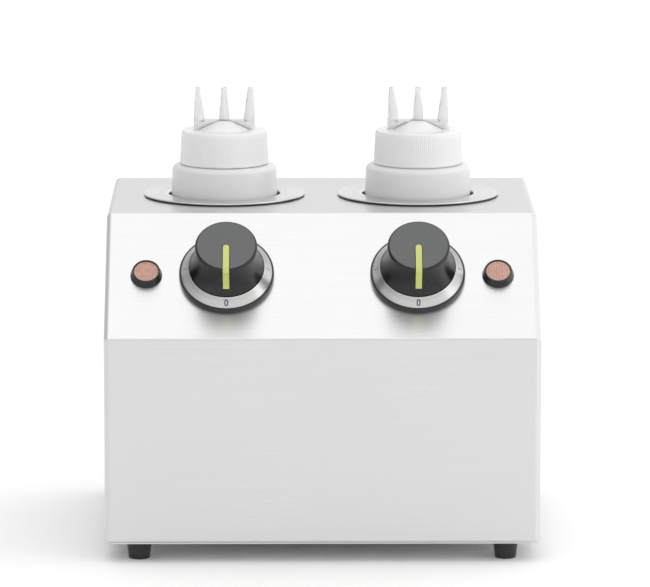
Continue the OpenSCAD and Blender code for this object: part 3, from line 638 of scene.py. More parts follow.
@dataclass(frozen=True)
class Polyethylene(Finish):
    """Natural low-density polyethylene: milky, waxy and half see-through."""

    colour: str
    roughness: float
    see_through: float
    ripple_mm: float
    relief_mm: float
    loss_per_mm: float = 0.0
    cloud_mm: float = 14.0
    ior: float = 1.51

    def volume(self, tree: Tree) -> Socket | None:
        """Adds the light lost inside a clear wall.

        Args:
            tree: The tree to add to.

        Returns:
            The volume's output, or nothing where the wall is too milky for it to matter.
        """
        if not self.loss_per_mm:
            return None
        return add_node(
            tree, "ShaderNodeVolumeAbsorption", {"Color": "#000000", "Density": self.loss_per_mm / MM}
        ).outputs[0]

    def shader(self, tree: Tree) -> Socket:
        """Adds the finish's nodes.

        Args:
            tree: The tree to add to.

        Returns:
            The shader's output.
        """
        point = add_node(tree, "ShaderNodeTexCoord").outputs["Object"]
        ripple = add_node(
            tree,
            "ShaderNodeTexNoise",
            {"Vector": point, "Scale": 1 / (self.ripple_mm * MM), "Detail": 2.0},
        ).outputs[0]
        cloud = add_node(
            tree, "ShaderNodeTexNoise", {"Vector": point, "Scale": 1 / (self.cloud_mm * MM), "Detail": 3.0}
        ).outputs[0]
        colour = add_node(
            tree, "ShaderNodeMix", {0: cloud, 6: self.colour, 7: "#ffffff"}, data_type="RGBA"
        ).outputs[2]
        rough = add_node(
            tree,
            "ShaderNodeMapRange",
            {0: cloud, **NOISE_RANGE, 3: self.roughness - 0.02, 4: self.roughness + 0.03},
        ).outputs[0]
        bump = add_node(
            tree, "ShaderNodeBump", {"Strength": 0.4, "Distance": self.relief_mm * MM, "Height": ripple}
        ).outputs[0]
        return add_node(
            tree,
            "ShaderNodeBsdfPrincipled",
            {
                "Base Color": colour,
                "Roughness": rough,
                "IOR": self.ior,
                "Transmission Weight": self.see_through,
                "Normal": bump,
            },
        ).outputs[0]


@dataclass(frozen=True)
class LampLens(Finish):
    """Amber polycarbonate of a neon pilot lamp, tinted through and a little see-through."""

    colour: str
    deep: str
    roughness: float
    see_through: float
    flow_mm: float = 3.0
    ior: float = 1.58

    def shader(self, tree: Tree) -> Socket:
        """Adds the finish's nodes.

        Args:
            tree: The tree to add to.

        Returns:
            The shader's output.
        """
        point = add_node(tree, "ShaderNodeTexCoord").outputs["Object"]
        flow = add_node(
            tree, "ShaderNodeTexNoise", {"Vector": point, "Scale": 1 / (self.flow_mm * MM), "Detail": 3.0}
        ).outputs[0]
        colour = add_node(
            tree, "ShaderNodeMix", {0: flow, 6: self.deep, 7: self.colour}, data_type="RGBA"
        ).outputs[2]
        rough = add_node(
            tree,
            "ShaderNodeMapRange",
            {0: flow, **NOISE_RANGE, 3: self.roughness - 0.04, 4: self.roughness + 0.04},
        ).outputs[0]
        return add_node(
            tree,
            "ShaderNodeBsdfPrincipled",
            {
                "Base Color": colour,
                "Roughness": rough,
                "IOR": self.ior,
                "Transmission Weight": self.see_through,
            },
        ).outputs[0]


@dataclass(frozen=True)
class Fibrous(Finish):
    """Felted or woven fibre: ceramic wool, glass sleeving, mica board."""

    dark: str
    light: str
    fibre_mm: float
    stretch: Triple
    relief_mm: float

    def shader(self, tree: Tree) -> Socket:
        """Adds the finish's nodes.

        Args:
            tree: The tree to add to.

        Returns:
            The shader's output.
        """
        point = add_node(tree, "ShaderNodeTexCoord").outputs["Object"]
        combed = add_node(
            tree, "ShaderNodeVectorMath", {0: point, 1: self.stretch}, operation="MULTIPLY"
        ).outputs[0]
        fibres = add_node(
            tree,
            "ShaderNodeTexNoise",
            {"Vector": combed, "Scale": 1 / (self.fibre_mm * MM), "Detail": 5.0, "Distortion": 1.2},
        ).outputs[0]
        colour = two_tone(tree, fibres, self.dark, self.light)
        bump = add_node(
            tree, "ShaderNodeBump", {"Strength": 0.8, "Distance": self.relief_mm * MM, "Height": fibres}
        ).outputs[0]
        return add_node(
            tree,
            "ShaderNodeBsdfPrincipled",
            {"Base Color": colour, "Roughness": 0.9, "Sheen Weight": 0.3, "Normal": bump},
        ).outputs[0]


# Scratches, tool marks, grain and fibres are finer on the real thing, where they would be too small
# to see. Here they are drawn as coarse as they have to be to show.

# Austenitic stainless sheet, belt-brushed to a No. 4 finish: fine level streaks and a soft, wide gleam
BRUSHED_SHEET = WorkedMetal(
    "belt-brushed stainless sheet", "#d4d4d4", "#d8d8d8", 0.29, 0.25, 30.0, anisotropy=0.7, relief_mm=0.0008
)
# Zinc-plated steel: bright bluish skin with a faint mottle
ZINC_PLATE = PlatedMetal("zinc-plated steel", "#a7abb0", "#c6c9cc", 0.34, 2.5)
# Bare copper tube, drawn and slightly dulled
COPPER_TUBE = PlatedMetal("drawn copper tube", "#b5714a", "#d08a5e", 0.3, 4.0)
# Rolled brass: blade pins, lightly polished by use
BRASS_BLADE = PlatedMetal("rolled brass", "#c3a052", "#dcbc6e", 0.26, 3.0)
# Natural rubber with carbon black, compression moulded: soft, nearly matte
FOOT_RUBBER = Moulded("moulded black rubber", "#161616", "#222222", 0.62, 1.52, 0.5, 0.02, 0.15)
# Black silicone sheet, die cut: satin, slightly dusty
GASKET_SILICONE = Moulded("die-cut black silicone", "#19191a", "#262627", 0.5, 1.42, 0.6, 0.01, 0.1)
# Black phenolic, compression moulded and polished: dial bases and lamp bezels
BLACK_PHENOLIC = Moulded("moulded black phenolic", "#0e0e0f", "#151516", 0.26, 1.55, 0.8, 0.004)
# Black nylon of the appliance inlet's housing, lightly grained
INLET_NYLON = Moulded("moulded black nylon", "#131314", "#1d1d1e", 0.42, 1.53, 0.5, 0.015)
# Lime ABS of the pointer: satin, dyed through
POINTER_ABS = Moulded("moulded lime ABS", "#b9bd66", "#c8cc78", 0.38, 1.54, 0.4, 0.006)
# White nylon: lamp barrels and terminal block, waxy
WHITE_NYLON = Moulded("moulded white nylon", "#dedbd0", "#ebe8df", 0.42, 1.53, 0.7, 0.01)
# Brown phenolic: cut-out bodies, semi-gloss with a mottled flow
BROWN_PHENOLIC = Moulded("moulded brown phenolic", "#2c1d14", "#41301f", 0.3, 1.6, 1.0, 0.008)
# Expanded polyethylene sheet: cap seals, soft and cellular
SEAL_FOAM = Moulded("die-cut foam liner", "#e4e4e0", "#f2f2ee", 0.7, 1.45, 0.4, 0.05, 0.2)
# Black enamel, filled into the engraving: matte
MARK_INK = Moulded("filled black enamel", "#060606", "#0a0a0a", 0.6, 1.5, 0.2, 0.004)
# Mica board with a steel skin: heater bands, dull and streaky
MICA_BAND = Fibrous("pressed mica band", "#8b7b60", "#b7a685", 1.2, (1, 1, 0.25), 0.03)
# Ceramic wool blanket: white, felted
CERAMIC_WOOL = Fibrous("needled ceramic wool", "#d8d2c3", "#f0ebdf", 1.6, (1, 1, 0.3), 0.4)
# Braided glass sleeving over the wires
GLASS_SLEEVING = Fibrous("braided glass sleeving", "#a9a397", "#d7d2c6", 0.6, (1, 1, 1), 0.08)
# Low-density polyethylene, blow moulded: bottles, milky and soft to the eye
BOTTLE_WALL = Polyethylene("blow-moulded natural polyethylene", "#f5f6f5", 0.3, 0.38, 6.0, 0.004)
# The same resin, injection moulded: caps, crisper and glossier
CAP_WALL = Polyethylene("injection-moulded natural polyethylene", "#ffffff", 0.15, 0.3, 4.0, 0.001)
# The same resin where it is thin, moulded over a polished core: nozzles, clearer than the cap
NOZZLE_WALL = Polyethylene("core-drawn natural polyethylene", "#ffffff", 0.12, 0.76, 4.0, 0.0005, 0.04)
# Amber polycarbonate, injection moulded with prism facets
AMBER_LENS = LampLens("moulded amber polycarbonate", "#e2b8a6", "#bd8874", 0.12, 0.2)


# ------------------------------------------------------------------ frame positions


def panel_place(x: float) -> Matrix:
    """Returns the frame of the control panel at one point across it.

    Args:
        x: Distance across the panel from its middle, in metres.

    Returns:
        X across, Y up the slope, Z out of the panel.
    """
    turn_joint = next(j for j in frame["joints"] if j["name"] == "knob_left_turn")
    out = -Vector(turn_joint["axis"]).normalized()
    across = Vector((1, 0, 0))
    up = out.cross(across)
    _, y, z = turn_joint["pos_m"]
    place = Matrix((across, up, out)).transposed().to_4x4()
    place.translation = (x, y, z)
    return place


def middle(node: str) -> Vector:
    """Returns the middle of a CAD node's box."""
    low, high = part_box(node)
    return (low + high) / 2


def settle(obj: Piece, body: str, finish: Finish, slot: str, *replaced: str) -> Piece:
    """Dresses a finished piece, rides it on its body and hides the CAD nodes it is drawn in place of.

    Args:
        obj: The piece.
        body: The body that it moves with.
        finish: What it is made of.
        slot: The colour slot it belongs to; not used.
        *replaced: The CAD nodes that it is drawn in place of.

    Returns:
        The same piece.
    """
    obj.data.materials.clear()
    obj.data.materials.append(finish.material())
    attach(obj, body)
    if replaced:
        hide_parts(*replaced)
    return obj


# ------------------------------------------------------------------ sub-assemblies


@dataclass(frozen=True)
class Housing:
    """The folded shell, its back and base, the feet and the fixings."""

    def build(self) -> list[Piece]:
        """Dresses the housing's CAD nodes.

        Returns:
            The pieces.
        """
        pieces = BRUSHED_SHEET.dress("housing_shell", "back_panel", "base_plate")
        pieces += FOOT_RUBBER.dress(
            "foot_front_left", "foot_front_right", "foot_rear_left", "foot_rear_right"
        )
        pieces += ZINC_PLATE.dress(
            "tie_bracket", "foot_screws", "base_screws", "back_screws", "m4_nuts", "well_nuts"
        )
        return pieces


@dataclass(frozen=True)
class HeatedWell:
    """A deep-drawn pot with its gasket, band heater, wool sleeve and cut-out."""

    side: Side
    tool_mark_mm: float = 0.7

    def build(self) -> list[Piece]:
        """Dresses one well's CAD nodes.

        Returns:
            The pieces.
        """
        s = self.side.value
        at = middle(f"well_{s}")
        # Drawn stainless, polished on a lathe: rings about the well's own axis
        drawn = WorkedMetal(
            f"lathe-polished drawn stainless {s}",
            "#c9c9c8",
            "#dad9d8",
            roughness=0.24,
            scratch_mm=self.tool_mark_mm,
            length_mm=90.0,
            lay=Lay.TURNED,
            centre=(at.x, at.y, 0.0),
        )
        pieces = drawn.dress(f"well_{s}")
        pieces += GASKET_SILICONE.dress(f"flange_gasket_{s}")
        pieces += MICA_BAND.dress(f"heater_band_{s}")
        pieces += ZINC_PLATE.dress(f"heater_clamp_{s}")
        pieces += CERAMIC_WOOL.dress(f"insulation_{s}")
        pieces += BROWN_PHENOLIC.dress(f"thermal_cutout_{s}")
        return pieces


@dataclass(frozen=True)
class DialControl:
    """A knob with its pointer, its scale ring and base, and the thermostat behind them."""

    side: Side
    ring_outer: Pair = (29.3, 4.2)
    ring_inner: Pair = (24.5, 9.3)
    mark_sink: float = 0.04
    zero_size: Pair = (4.4, 2.4)
    zero_line: float = 0.7
    tick_size: Pair = (3.2, 0.5)
    tool_mark_mm: float = 0.45

    def marks(self, place: Matrix) -> Piece:
        """Makes the enamel in the ring's engraving.

        Args:
            place: The panel's frame at the dial.

        Returns:
            The zero and the two ticks, as one object.
        """
        (ro, ho), (ri, hi) = self.ring_outer, self.ring_inner
        lie = math.atan2(hi - ho, ro - ri)
        length, width = self.zero_size
        loop = stadium(length, width)
        island = stadium(length - 2 * self.zero_line, width - 2 * self.zero_line)
        n = len(loop)
        line = [[k, (k + 1) % n, n + (k + 1) % n, n + k] for k in range(n)]
        tick, flat = oblong(*self.tick_size), [[0, 1, 2, 3]]
        marks = []
        for degrees, outline, faces in ((-90, loop + island, line), (0, tick, flat), (180, tick, flat)):
            on_ring = (
                Matrix.Rotation(math.radians(degrees), 4, "Z")
                @ Matrix.Translation(((ro + ri) / 2, 0, (ho + hi) / 2))
                @ Matrix.Rotation(lie, 4, "Y")
                @ Matrix.Translation((0, 0, -self.mark_sink))
            )
            marks.append(([on_ring @ Vector((x, y, 0)) for x, y in outline], faces))
        return new_object(f"dial_marks_{self.side.value}", gather(marks), place)

    def build(self) -> list[Piece]:
        """Dresses one dial's CAD nodes and adds its marks.

        Returns:
            The pieces.
        """
        s = self.side.value
        place = panel_place(middle(f"dial_base_{s}").x)
        out = tuple(place.col[2].xyz)
        # Spun aluminium, turned and clear-anodised: tight rings about the knob's axis
        spun = WorkedMetal(
            f"turned and anodised aluminium {s}",
            "#b2b2b2",
            "#cbcbca",
            roughness=0.27,
            scratch_mm=self.tool_mark_mm,
            length_mm=30.0,
            lay=Lay.TURNED,
            centre=tuple(place.translation),
            axis=out,
        )
        # Black phenolic knob: a spark-textured face, painted grey as sheen from the overhead light, inside a
        # polished rim and skirt
        knob = FacedKnob("polished black phenolic knob with painted face sheen", "#020203", "#5a5b5b", out)
        pieces = spun.dress(f"dial_ring_{s}") + knob.dress(f"knob_{s}")
        pieces += BLACK_PHENOLIC.dress(f"dial_base_{s}")
        pieces += POINTER_ABS.dress(f"knob_pointer_{s}")
        pieces += ZINC_PLATE.dress(f"thermostat_shaft_{s}", f"thermostat_{s}")
        pieces += COPPER_TUBE.dress(f"sensor_{s}")
        pieces.append(settle(self.marks(place), "housing", MARK_INK, "black_knob_plastic"))
        return pieces


@dataclass(frozen=True)
class PilotLamp:
    """A round neon lamp: black bezel, prism-faceted lens and the barrel behind it."""

    side: Side
    lens_r: float = 8.0
    seat_h: float = 1.5
    rim_h: float = 4.7
    crown: float = 0.7
    edge_r: float = 0.5
    facet_mm: float = 1.7
    facet_depth: float = 0.5
    facet_fade: float = 0.8
    rings: int = 34
    steps: int = 120

    def lens(self, place: Matrix) -> Piece:
        """Makes the lens, its crown covered with small square prisms.

        Args:
            place: The panel's frame at the lamp.

        Returns:
            The lens.
        """
        rows, edge = self.rings, self.edge_r
        inner = self.lens_r - edge
        crown = [
            (inner * i / rows, self.rim_h + self.crown * (1 - (i / rows) ** 2)) for i in range(rows, 0, -1)
        ]
        profile = [(0.0, self.seat_h), (self.lens_r, self.seat_h)]
        profile += arc((inner, self.rim_h - edge), edge, 0, 90, 5)
        profile += crown + [(0.0, self.rim_h + self.crown)]
        points, faces = turn(profile, self.steps)
        for p in points:
            r = math.hypot(p.x, p.y)
            if p.z > self.rim_h - SAME and r < inner + SAME:
                wave = [abs((c / self.facet_mm) % 1 - 0.5) * 2 for c in (p.x, p.y)]
                fade = min(1.0, (inner - r) / self.facet_fade)
                p.z -= self.facet_depth * max(wave) * max(fade, 0.0)
        return new_object(f"lamp_prism_lens_{self.side.value}", (points, faces), place, crease=60)

    def build(self) -> list[Piece]:
        """Dresses one lamp's CAD nodes and adds its lens.

        Returns:
            The pieces.
        """
        s = self.side.value
        place = panel_place(middle(f"lamp_bezel_{s}").x)
        pieces = BLACK_PHENOLIC.dress(f"lamp_bezel_{s}") + WHITE_NYLON.dress(f"lamp_holder_{s}")
        lens = self.lens(place)
        pieces.append(settle(lens, "housing", AMBER_LENS, "amber_lens", f"lamp_lens_{s}"))
        return pieces


@dataclass(frozen=True)
class Supply:
    """The appliance inlet, the terminal block, the earth stud and the loom."""

    def build(self) -> list[Piece]:
        """Dresses the supply's CAD nodes.

        Returns:
            The pieces.
        """
        pieces = INLET_NYLON.dress("power_inlet") + BRASS_BLADE.dress("inlet_pins")
        pieces += ZINC_PLATE.dress("inlet_screws", "clamp_screws", "thermostat_screws", "earth_stud")
        pieces += WHITE_NYLON.dress("terminal_block") + GLASS_SLEEVING.dress("wiring")
        return pieces


@dataclass(frozen=True)
class ScrewThread:
    """A helical bead of a given height, running round a neck or inside a cap."""

    start_z: float
    pitch: float = 5.0
    width: float = 1.9
    height: float = 1.0
    turns: float = 1.75
    run_out: float = 0.1
    flank: float = 1.8

    def bead(self, angle: float, z: float) -> float:
        """Finds how far the bead stands out.

        Args:
            angle: Where round the neck, in radians.
            z: How high.

        Returns:
            Its height there in millimetres, and 0 beside it.
        """
        best = 0.0
        for lap in range(math.ceil(self.turns)):
            gone = angle / (2 * math.pi) + lap
            if gone > self.turns:
                continue
            near = 1 - abs(z - self.start_z - self.pitch * gone) / (self.width / 2)
            fade = min(1.0, gone / self.run_out, (self.turns - gone) / self.run_out)
            best = max(best, self.height * fade * min(1.0, max(0.0, near) * self.flank))
        return best


@dataclass(frozen=True)
class SqueezeBottle:
    """A blow-moulded squeeze bottle with a threaded neck, open at the top."""

    side: Side
    radius: float = 35.5
    shoulder_r: float = 34.8
    wall: float = 1.4
    base_round: float = 5.0
    shoulder_round: float = 4.4
    straight_top: float = 196.9
    shoulder_z: float = 238.3
    neck_r: float = 25.2
    neck_wall: float = 1.6
    neck_h: float = 19.6
    neck_fillet: float = 1.2
    lip_r: float = 0.4
    thread_up: float = 5.2
    push_up: float = 1.5
    parting_h: float = 0.12
    parting_half_angle: float = 0.012
    steps: int = 180

    def wall_profile(self, low: float) -> Profile:
        """Draws the closed profile of the wall, up the outside and down the inside.

        Args:
            low: Height of the bottle's foot.

        Returns:
            Pairs of radius and height.
        """
        b, s, t, lip, fillet = self.base_round, self.shoulder_round, self.wall, self.lip_r, self.neck_fillet
        top = self.shoulder_z + self.neck_h
        inner_neck = self.neck_r - self.neck_wall
        outside = [(0.0, low + self.push_up), (self.radius - b - 6, low + self.push_up - 0.3)]
        outside += [(self.radius - b - 3, low), *arc((self.radius - b, low + b), b, -90, 0)]
        outside += climb((self.radius, low + b + 2), (self.radius, self.straight_top), 14)
        outside += arc((self.shoulder_r - s, self.shoulder_z - s), s, 0, 90, 10)
        outside += arc((self.neck_r + fillet, self.shoulder_z + fillet), fillet, -90, -180, 5)
        outside += climb((self.neck_r, self.shoulder_z + fillet + 0.4), (self.neck_r, top - lip), 0.42)
        outside += arc((self.neck_r - lip, top - lip), lip, 0, 90, 4)
        inside = arc((inner_neck + lip, top - lip), lip, 90, 180, 4)
        inside += [(inner_neck, self.shoulder_z - 0.2)]
        inside += arc((self.shoulder_r - s, self.shoulder_z - s), s - t, 90, 0, 10)
        inside += climb((self.radius - t, self.straight_top), (self.radius - t, low + b + 2), 14)
        inside += arc((self.radius - b, low + b), b - t, 0, -90)
        inside += [(self.radius - b - 4, low + t), (0.0, low + t + self.push_up)]
        return outside + inside

    def build(self) -> list[Piece]:
        """Makes one bottle in place of its CAD node.

        Returns:
            The bottle.
        """
        s = self.side.value
        low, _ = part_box(f"bottle_{s}")
        at = middle(f"well_{s}")
        thread = ScrewThread(self.shoulder_z + self.thread_up)

        def shape(angle: float, r: float, z: float) -> float:
            """Adds the thread on the neck and the mould's parting line on the body.

            Args:
                angle: Where round the bottle, in radians.
                r: The profile's radius.
                z: Its height.

            Returns:
                The radius to use.
            """
            if abs(r - self.neck_r) < SAME and z > self.shoulder_z:
                return r + thread.bead(angle, z)
            seam = min(abs(angle - a) for a in (0, math.pi, 2 * math.pi))
            on_wall = r > self.neck_r + 2 and z > low.z / MM + 2 * self.base_round
            outer = r > self.radius - 0.9 or abs(z - self.shoulder_z) < 0.3
            return r - self.parting_h if on_wall and outer and seam >= self.parting_half_angle else r

        data = turn(self.wall_profile(low.z / MM), self.steps, shape)
        place = Matrix.Translation((at.x, at.y, 0))
        bottle = new_object(f"squeeze_bottle_{s}", data, place, crease=50)
        return [settle(bottle, f"bottle_{s}", BOTTLE_WALL, "natural_polyethylene", f"bottle_{s}")]


@dataclass(frozen=True)
class TripleNozzleCap:
    """A ribbed screw collar with a low dome, a hollow ridge and three nozzles."""

    side: Side
    skirt_r: float = 29.45
    top_r: float = 28.0
    bore_r: float = 26.7
    skirt_z: float = 238.7
    skirt_gap: float = 0.4
    skirt_h: float = 22.4
    roof: float = 1.4
    ribs: int = 132
    rib_depth: float = 0.26
    dome_r: float = 17.0
    dome_top_r: float = 5.4
    dome_h: float = 6.0
    ridge: Triple = (40.8, 8.0, 6.4)
    ridge_wall: float = 1.1
    nozzle_places: tuple[int, ...] = (-1, 0, 1)
    nozzle_pitch: float = 16.6
    nozzle_r: Pair = (3.8, 1.85)
    nozzle_h: float = 21.7
    nozzle_wall: float = 0.75
    nozzle_lip: float = 0.25
    nozzle_lean: float = 2.6
    dome_steps: int = 96
    nozzle_steps: int = 64

    def collar(self, place: Matrix) -> Piece:
        """Makes the ribbed skirt, the flat rim and the thread inside.

        Args:
            place: The well's axis.

        Returns:
            The collar, open in the middle under the dome.
        """
        low, top = self.skirt_z, self.skirt_z + self.skirt_h
        # Half a pitch above the bottle's thread, so that the two beads lie in each other's gaps
        neck_thread = self.skirt_z - self.skirt_gap + SqueezeBottle.thread_up
        thread = ScrewThread(neck_thread + ScrewThread.pitch / 2)
        profile = [(self.bore_r, low), (self.skirt_r - 0.3, low), (self.skirt_r, low + 0.3)]
        profile += climb((self.skirt_r - 0.03, low + 1.1), (self.top_r + 0.4, top - 2.4), 1.6)
        profile += arc((self.top_r - 0.9, top - 0.9), 0.9, 0, 90, 6)
        profile += [(self.dome_r + 1.5, top), (self.dome_r - 0.4, top), (self.dome_r - 0.4, top - self.roof)]
        profile += [(self.bore_r - 0.8, top - self.roof), (self.bore_r, top - self.roof - 0.8)]
        profile += climb((self.bore_r, top - self.roof - 1.2), (self.bore_r, low + 0.3), 0.6)
        profile.append((self.bore_r, low))

        def shape(angle: float, r: float, z: float) -> float:
            """Cuts the ribs into the skirt and grows the thread inside it.

            Args:
                angle: Where round the cap, in radians.
                r: The profile's radius.
                z: Its height.

            Returns:
                The radius to use.
            """
            if r > self.top_r - 0.2 and low + 0.8 < z < top - 1.2:
                fade = min(1.0, (z - low - 0.8) / 1.2, (top - 1.2 - z) / 1.5)
                return r - self.rib_depth * fade * (0.5 - 0.5 * math.cos(self.ribs * angle))
            if abs(r - self.bore_r) < SAME:
                return r - thread.bead(angle, z)
            return r

        data = turn(profile, self.ribs * 4, shape)
        return new_object(f"cap_collar_{self.side.value}", data, place, crease=55)

    def nozzle(self, at: int) -> MeshData:
        """Makes one leaning nozzle, open at both ends.

        Args:
            at: -1, 0 or 1 along the ridge.

        Returns:
            A hollow cone, in the well's frame.
        """
        foot, tip = self.nozzle_r
        high, wall, lip = self.nozzle_h, self.nozzle_wall, self.nozzle_lip
        slope = (foot - tip) / high
        outer = climb((foot, 0.0), (tip + slope * lip, high - lip), 1.0)
        inner = climb((tip - wall, high), (foot - wall, 0.0), 1.0)
        return self.leaning(at, turn([*outer, (tip - lip, high), *inner, outer[0]], self.nozzle_steps))

    def leaning(self, at: int, data: MeshData) -> MeshData:
        """Moves a mesh from a nozzle's own frame to the well's frame.

        Args:
            at: -1, 0 or 1 along the ridge.
            data: The mesh, about the nozzle's axis and up from the ridge.

        Returns:
            The mesh in its place.
        """
        lean = Matrix.Rotation(math.radians(at * self.nozzle_lean), 4, "Y")
        foot = Vector((at * self.nozzle_pitch, 0, self.skirt_z + self.skirt_h + self.ridge[2]))
        return [lean @ point + foot for point in data[0]], data[1]

    def spout(self, place: Matrix) -> Piece:
        """Makes the dome and the ridge as one hollow moulding.

        Args:
            place: The well's axis.

        Returns:
            The moulding, fused to the collar's rim.
        """
        s = self.side.value
        top = self.skirt_z + self.skirt_h
        roof = top - self.roof
        length, width, height = self.ridge
        t = self.ridge_wall
        slope = (self.dome_r - self.dome_top_r) / self.dome_h
        cone = [(0.0, roof), (self.dome_r, roof), (self.dome_r, top)]
        cone += [(self.dome_r - slope * z, top + z) for z in (0.4, 2, 4)]
        cone += [(self.dome_top_r + 0.4, top + self.dome_h - 0.1), (0.0, top + self.dome_h + 0.3)]
        hollow = [(0.0, roof - 1), (self.dome_r - 1.6, roof - 1), (self.dome_r - 1.6, roof + 0.2)]
        hollow += [(self.dome_top_r - 1.0, roof + self.dome_h - 0.4), (0.0, roof + self.dome_h - 0.4)]
        ridge = prism(stadium(length, width), roof + 0.2, top + height)
        ridge_bore = prism(stadium(length - 2 * t, width - 2 * t), roof - 0.6, top + height - t)
        solids = [("ridge", ridge, "UNION"), ("ridge_bore", ridge_bore, "DIFFERENCE")]
        solids.append(("dome_bore", turn(hollow, self.dome_steps), "DIFFERENCE"))
        r, past = self.nozzle_r[0] - self.nozzle_wall, 0.6
        bore = turn([(0.0, -t - past), (r, -t - past), (r, past), (0.0, past)], self.nozzle_steps)
        solids += [("bore", self.leaning(at, bore), "DIFFERENCE") for at in self.nozzle_places]
        base = new_object(f"cap_spout_{s}", turn(cone, self.dome_steps), place)
        tools = [(new_object(name, data, place), how) for name, data, how in solids]
        spout = combine(base, tools, crease=40)
        settle(spout, f"cap_{s}", CAP_WALL, "natural_polyethylene")
        # The ridge's walls and top are nearly as thin as the nozzles and look like them
        spout.data.materials.append(NOZZLE_WALL.material())
        for face in spout.data.polygons:
            upright = abs(face.normal.z) < 0.2 or face.center.z > (top + height - 0.1) * MM
            face.material_index = int(upright and face.center.z > top * MM)
        return spout

    def build(self) -> list[Piece]:
        """Makes one cap in place of its CAD node and dresses its seal.

        Returns:
            The pieces.
        """
        s = self.side.value
        at = middle(f"well_{s}")
        place = Matrix.Translation((at.x, at.y, 0))
        body, slot = f"cap_{s}", "natural_polyethylene"
        pieces = [settle(self.collar(place), body, CAP_WALL, slot, f"cap_{s}")]
        pieces.append(self.spout(place))
        data = gather(self.nozzle(at) for at in self.nozzle_places)
        nozzles = new_object(f"cap_nozzles_{s}", data, place, crease=40)
        pieces.append(settle(nozzles, body, NOZZLE_WALL, slot))
        return pieces + SEAL_FOAM.dress(f"cap_seal_{s}")


# ------------------------------------------------------------------ studio


@dataclass(frozen=True)
class PaperFloor(Finish):
    """Matte white seamless paper."""

    colour: str
    fibre_mm: float = 2.0

    def shader(self, tree: Tree) -> Socket:
        """Adds the finish's nodes.

        Args:
            tree: The tree to add to.

        Returns:
            The shader's output.
        """
        point = add_node(tree, "ShaderNodeTexCoord").outputs["Object"]
        fibre = add_node(
            tree, "ShaderNodeTexNoise", {"Vector": point, "Scale": 1 / (self.fibre_mm * MM), "Detail": 3.0}
        ).outputs[0]
        colour = add_node(
            tree, "ShaderNodeMix", {0: fibre, 6: self.colour, 7: "#ffffff"}, data_type="RGBA"
        ).outputs[2]
        return add_node(
            tree, "ShaderNodeBsdfPrincipled", {"Base Color": colour, "Roughness": 0.9}
        ).outputs[0]


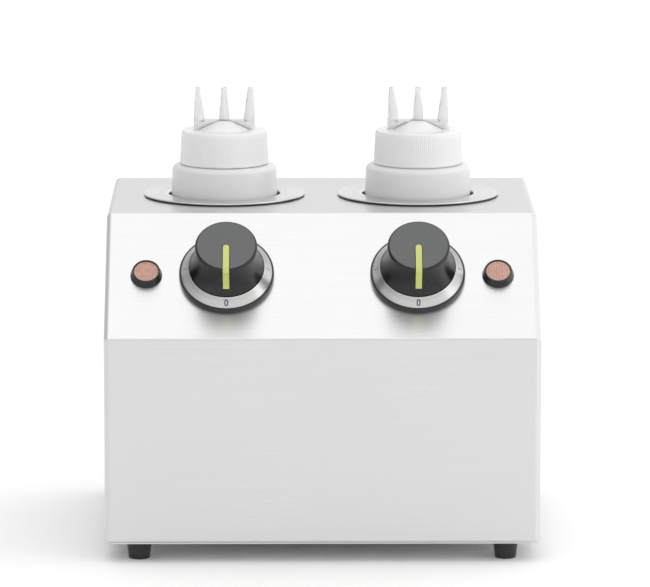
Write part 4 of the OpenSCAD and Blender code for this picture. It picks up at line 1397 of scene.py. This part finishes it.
@dataclass(frozen=True)
class Studio:
    """White paper floor, a soft surround with more light overhead, and a lamp on the right."""

    eye: Triple = (-0.0196, -3.2534, 0.7123)
    pitch_deg: float = 9.704
    yaw_deg: float = -0.387
    lens_mm: float = 275.8
    sensor_mm: float = 36.0
    all_round_light: float = 1.0
    back_light: float = 0.02
    overhead_light: float = 0.5
    overhead_sides: Pair = (1.6, 0.4)
    all_round_sides: Pair = (0.6, 1.4)
    lamp_at: Triple = (1.6, -0.7, 0.7)
    lamp_aim: Triple = (0, 0, 0.18)
    lamp_size: Pair = (0.6, 1.4)
    lamp_watts: float = 1.5
    floor_mm: float = 30000.0

    def camera(self) -> None:
        """Adds the camera, level across and tipped down a little."""
        data = bpy.data.cameras.new("camera")
        data.lens, data.sensor_width = self.lens_mm, self.sensor_mm
        data.clip_start, data.clip_end = 0.1, 60.0
        eye = bpy.data.objects.new("camera", data)
        eye.location = self.eye
        eye.rotation_euler = (math.radians(90 - self.pitch_deg), 0, math.radians(self.yaw_deg))
        bpy.context.scene.collection.objects.link(eye)
        bpy.context.scene.camera = eye

    def surround(self) -> None:
        """Lights the scene from all round, more from the right, and most from overhead on the left."""
        world = bpy.data.worlds.new("soft surround")
        bpy.context.scene.world = world
        world.use_nodes = True
        tree = world.node_tree
        tree.nodes.clear()
        # Directions run from -1 to 1: to the right, to the back and up
        way = add_node(tree, "ShaderNodeTexCoord").outputs["Generated"]
        parts = add_node(tree, "ShaderNodeSeparateXYZ", {0: way})
        behind = add_node(
            tree,
            "ShaderNodeMapRange",
            {0: parts.outputs[1], 1: -0.2, 2: 0.9, 3: 0.0, 4: self.back_light},
            interpolation_type="SMOOTHSTEP",
        ).outputs[0]
        above = add_node(
            tree,
            "ShaderNodeMapRange",
            {0: parts.outputs[2], 1: 0.72, 2: 0.96, 3: 0.0, 4: self.overhead_light},
            interpolation_type="SMOOTHSTEP",
        ).outputs[0]
        left, right = self.overhead_sides
        leftward = add_node(
            tree, "ShaderNodeMapRange", {0: parts.outputs[0], 1: -0.3, 2: 0.3, 3: left, 4: right}
        ).outputs[0]
        bank = add_node(tree, "ShaderNodeMath", {0: above, 1: leftward}, operation="MULTIPLY").outputs[0]
        both = add_node(tree, "ShaderNodeMath", {0: behind, 1: bank}, operation="ADD").outputs[0]
        level = add_node(
            tree, "ShaderNodeMath", {0: both, 1: self.all_round_light}, operation="ADD"
        ).outputs[0]
        left, right = self.all_round_sides
        rightward = add_node(
            tree, "ShaderNodeMapRange", {0: parts.outputs[0], 1: -1.0, 2: 1.0, 3: left, 4: right}
        ).outputs[0]
        total = add_node(tree, "ShaderNodeMath", {0: level, 1: rightward}, operation="MULTIPLY").outputs[0]
        glow = add_node(tree, "ShaderNodeBackground", {"Color": "#ffffff", "Strength": total})
        add_node(tree, "ShaderNodeOutputWorld", {"Surface": glow.outputs[0]})

    def lamp(self) -> None:
        """Adds the soft rectangular lamp, which throws no shadow."""
        data = bpy.data.lights.new("right bank", "AREA")
        data.shape, data.size, data.size_y, data.energy = "RECTANGLE", *self.lamp_size, self.lamp_watts
        data.use_shadow = False
        lamp = bpy.data.objects.new("right bank", data)
        lamp.location = self.lamp_at
        aim = Vector(self.lamp_aim) - Vector(self.lamp_at)
        lamp.rotation_euler = aim.to_track_quat("-Z", "Y").to_euler()
        bpy.context.scene.collection.objects.link(lamp)

    def build(self) -> list[Piece]:
        """Makes the floor, the lights and the camera.

        Returns:
            The floor.
        """
        floor = new_object("floor", prism(oblong(self.floor_mm, self.floor_mm), -20.0, 0.0), Matrix())
        floor.data.materials.append(PaperFloor("matte white paper", "#f9f9f8").material())
        self.surround()
        self.lamp()
        self.camera()
        bpy.context.scene.view_settings.view_transform = "Standard"
        return [floor]


def main() -> None:
    """Builds every sub-assembly in order, and reports each piece."""
    logging.basicConfig(level=logging.INFO, format="%(message)s")
    parts: list = [Studio(), Housing(), Supply()]
    for side in Side:
        parts += [HeatedWell(side), DialControl(side), PilotLamp(side)]
        parts += [SqueezeBottle(side), TripleNozzleCap(side)]
    for part in parts:
        for piece in part.build():
            LOG.info("%s: %s", type(part).__name__, piece.name)


if __name__ == "__main__":
    main()
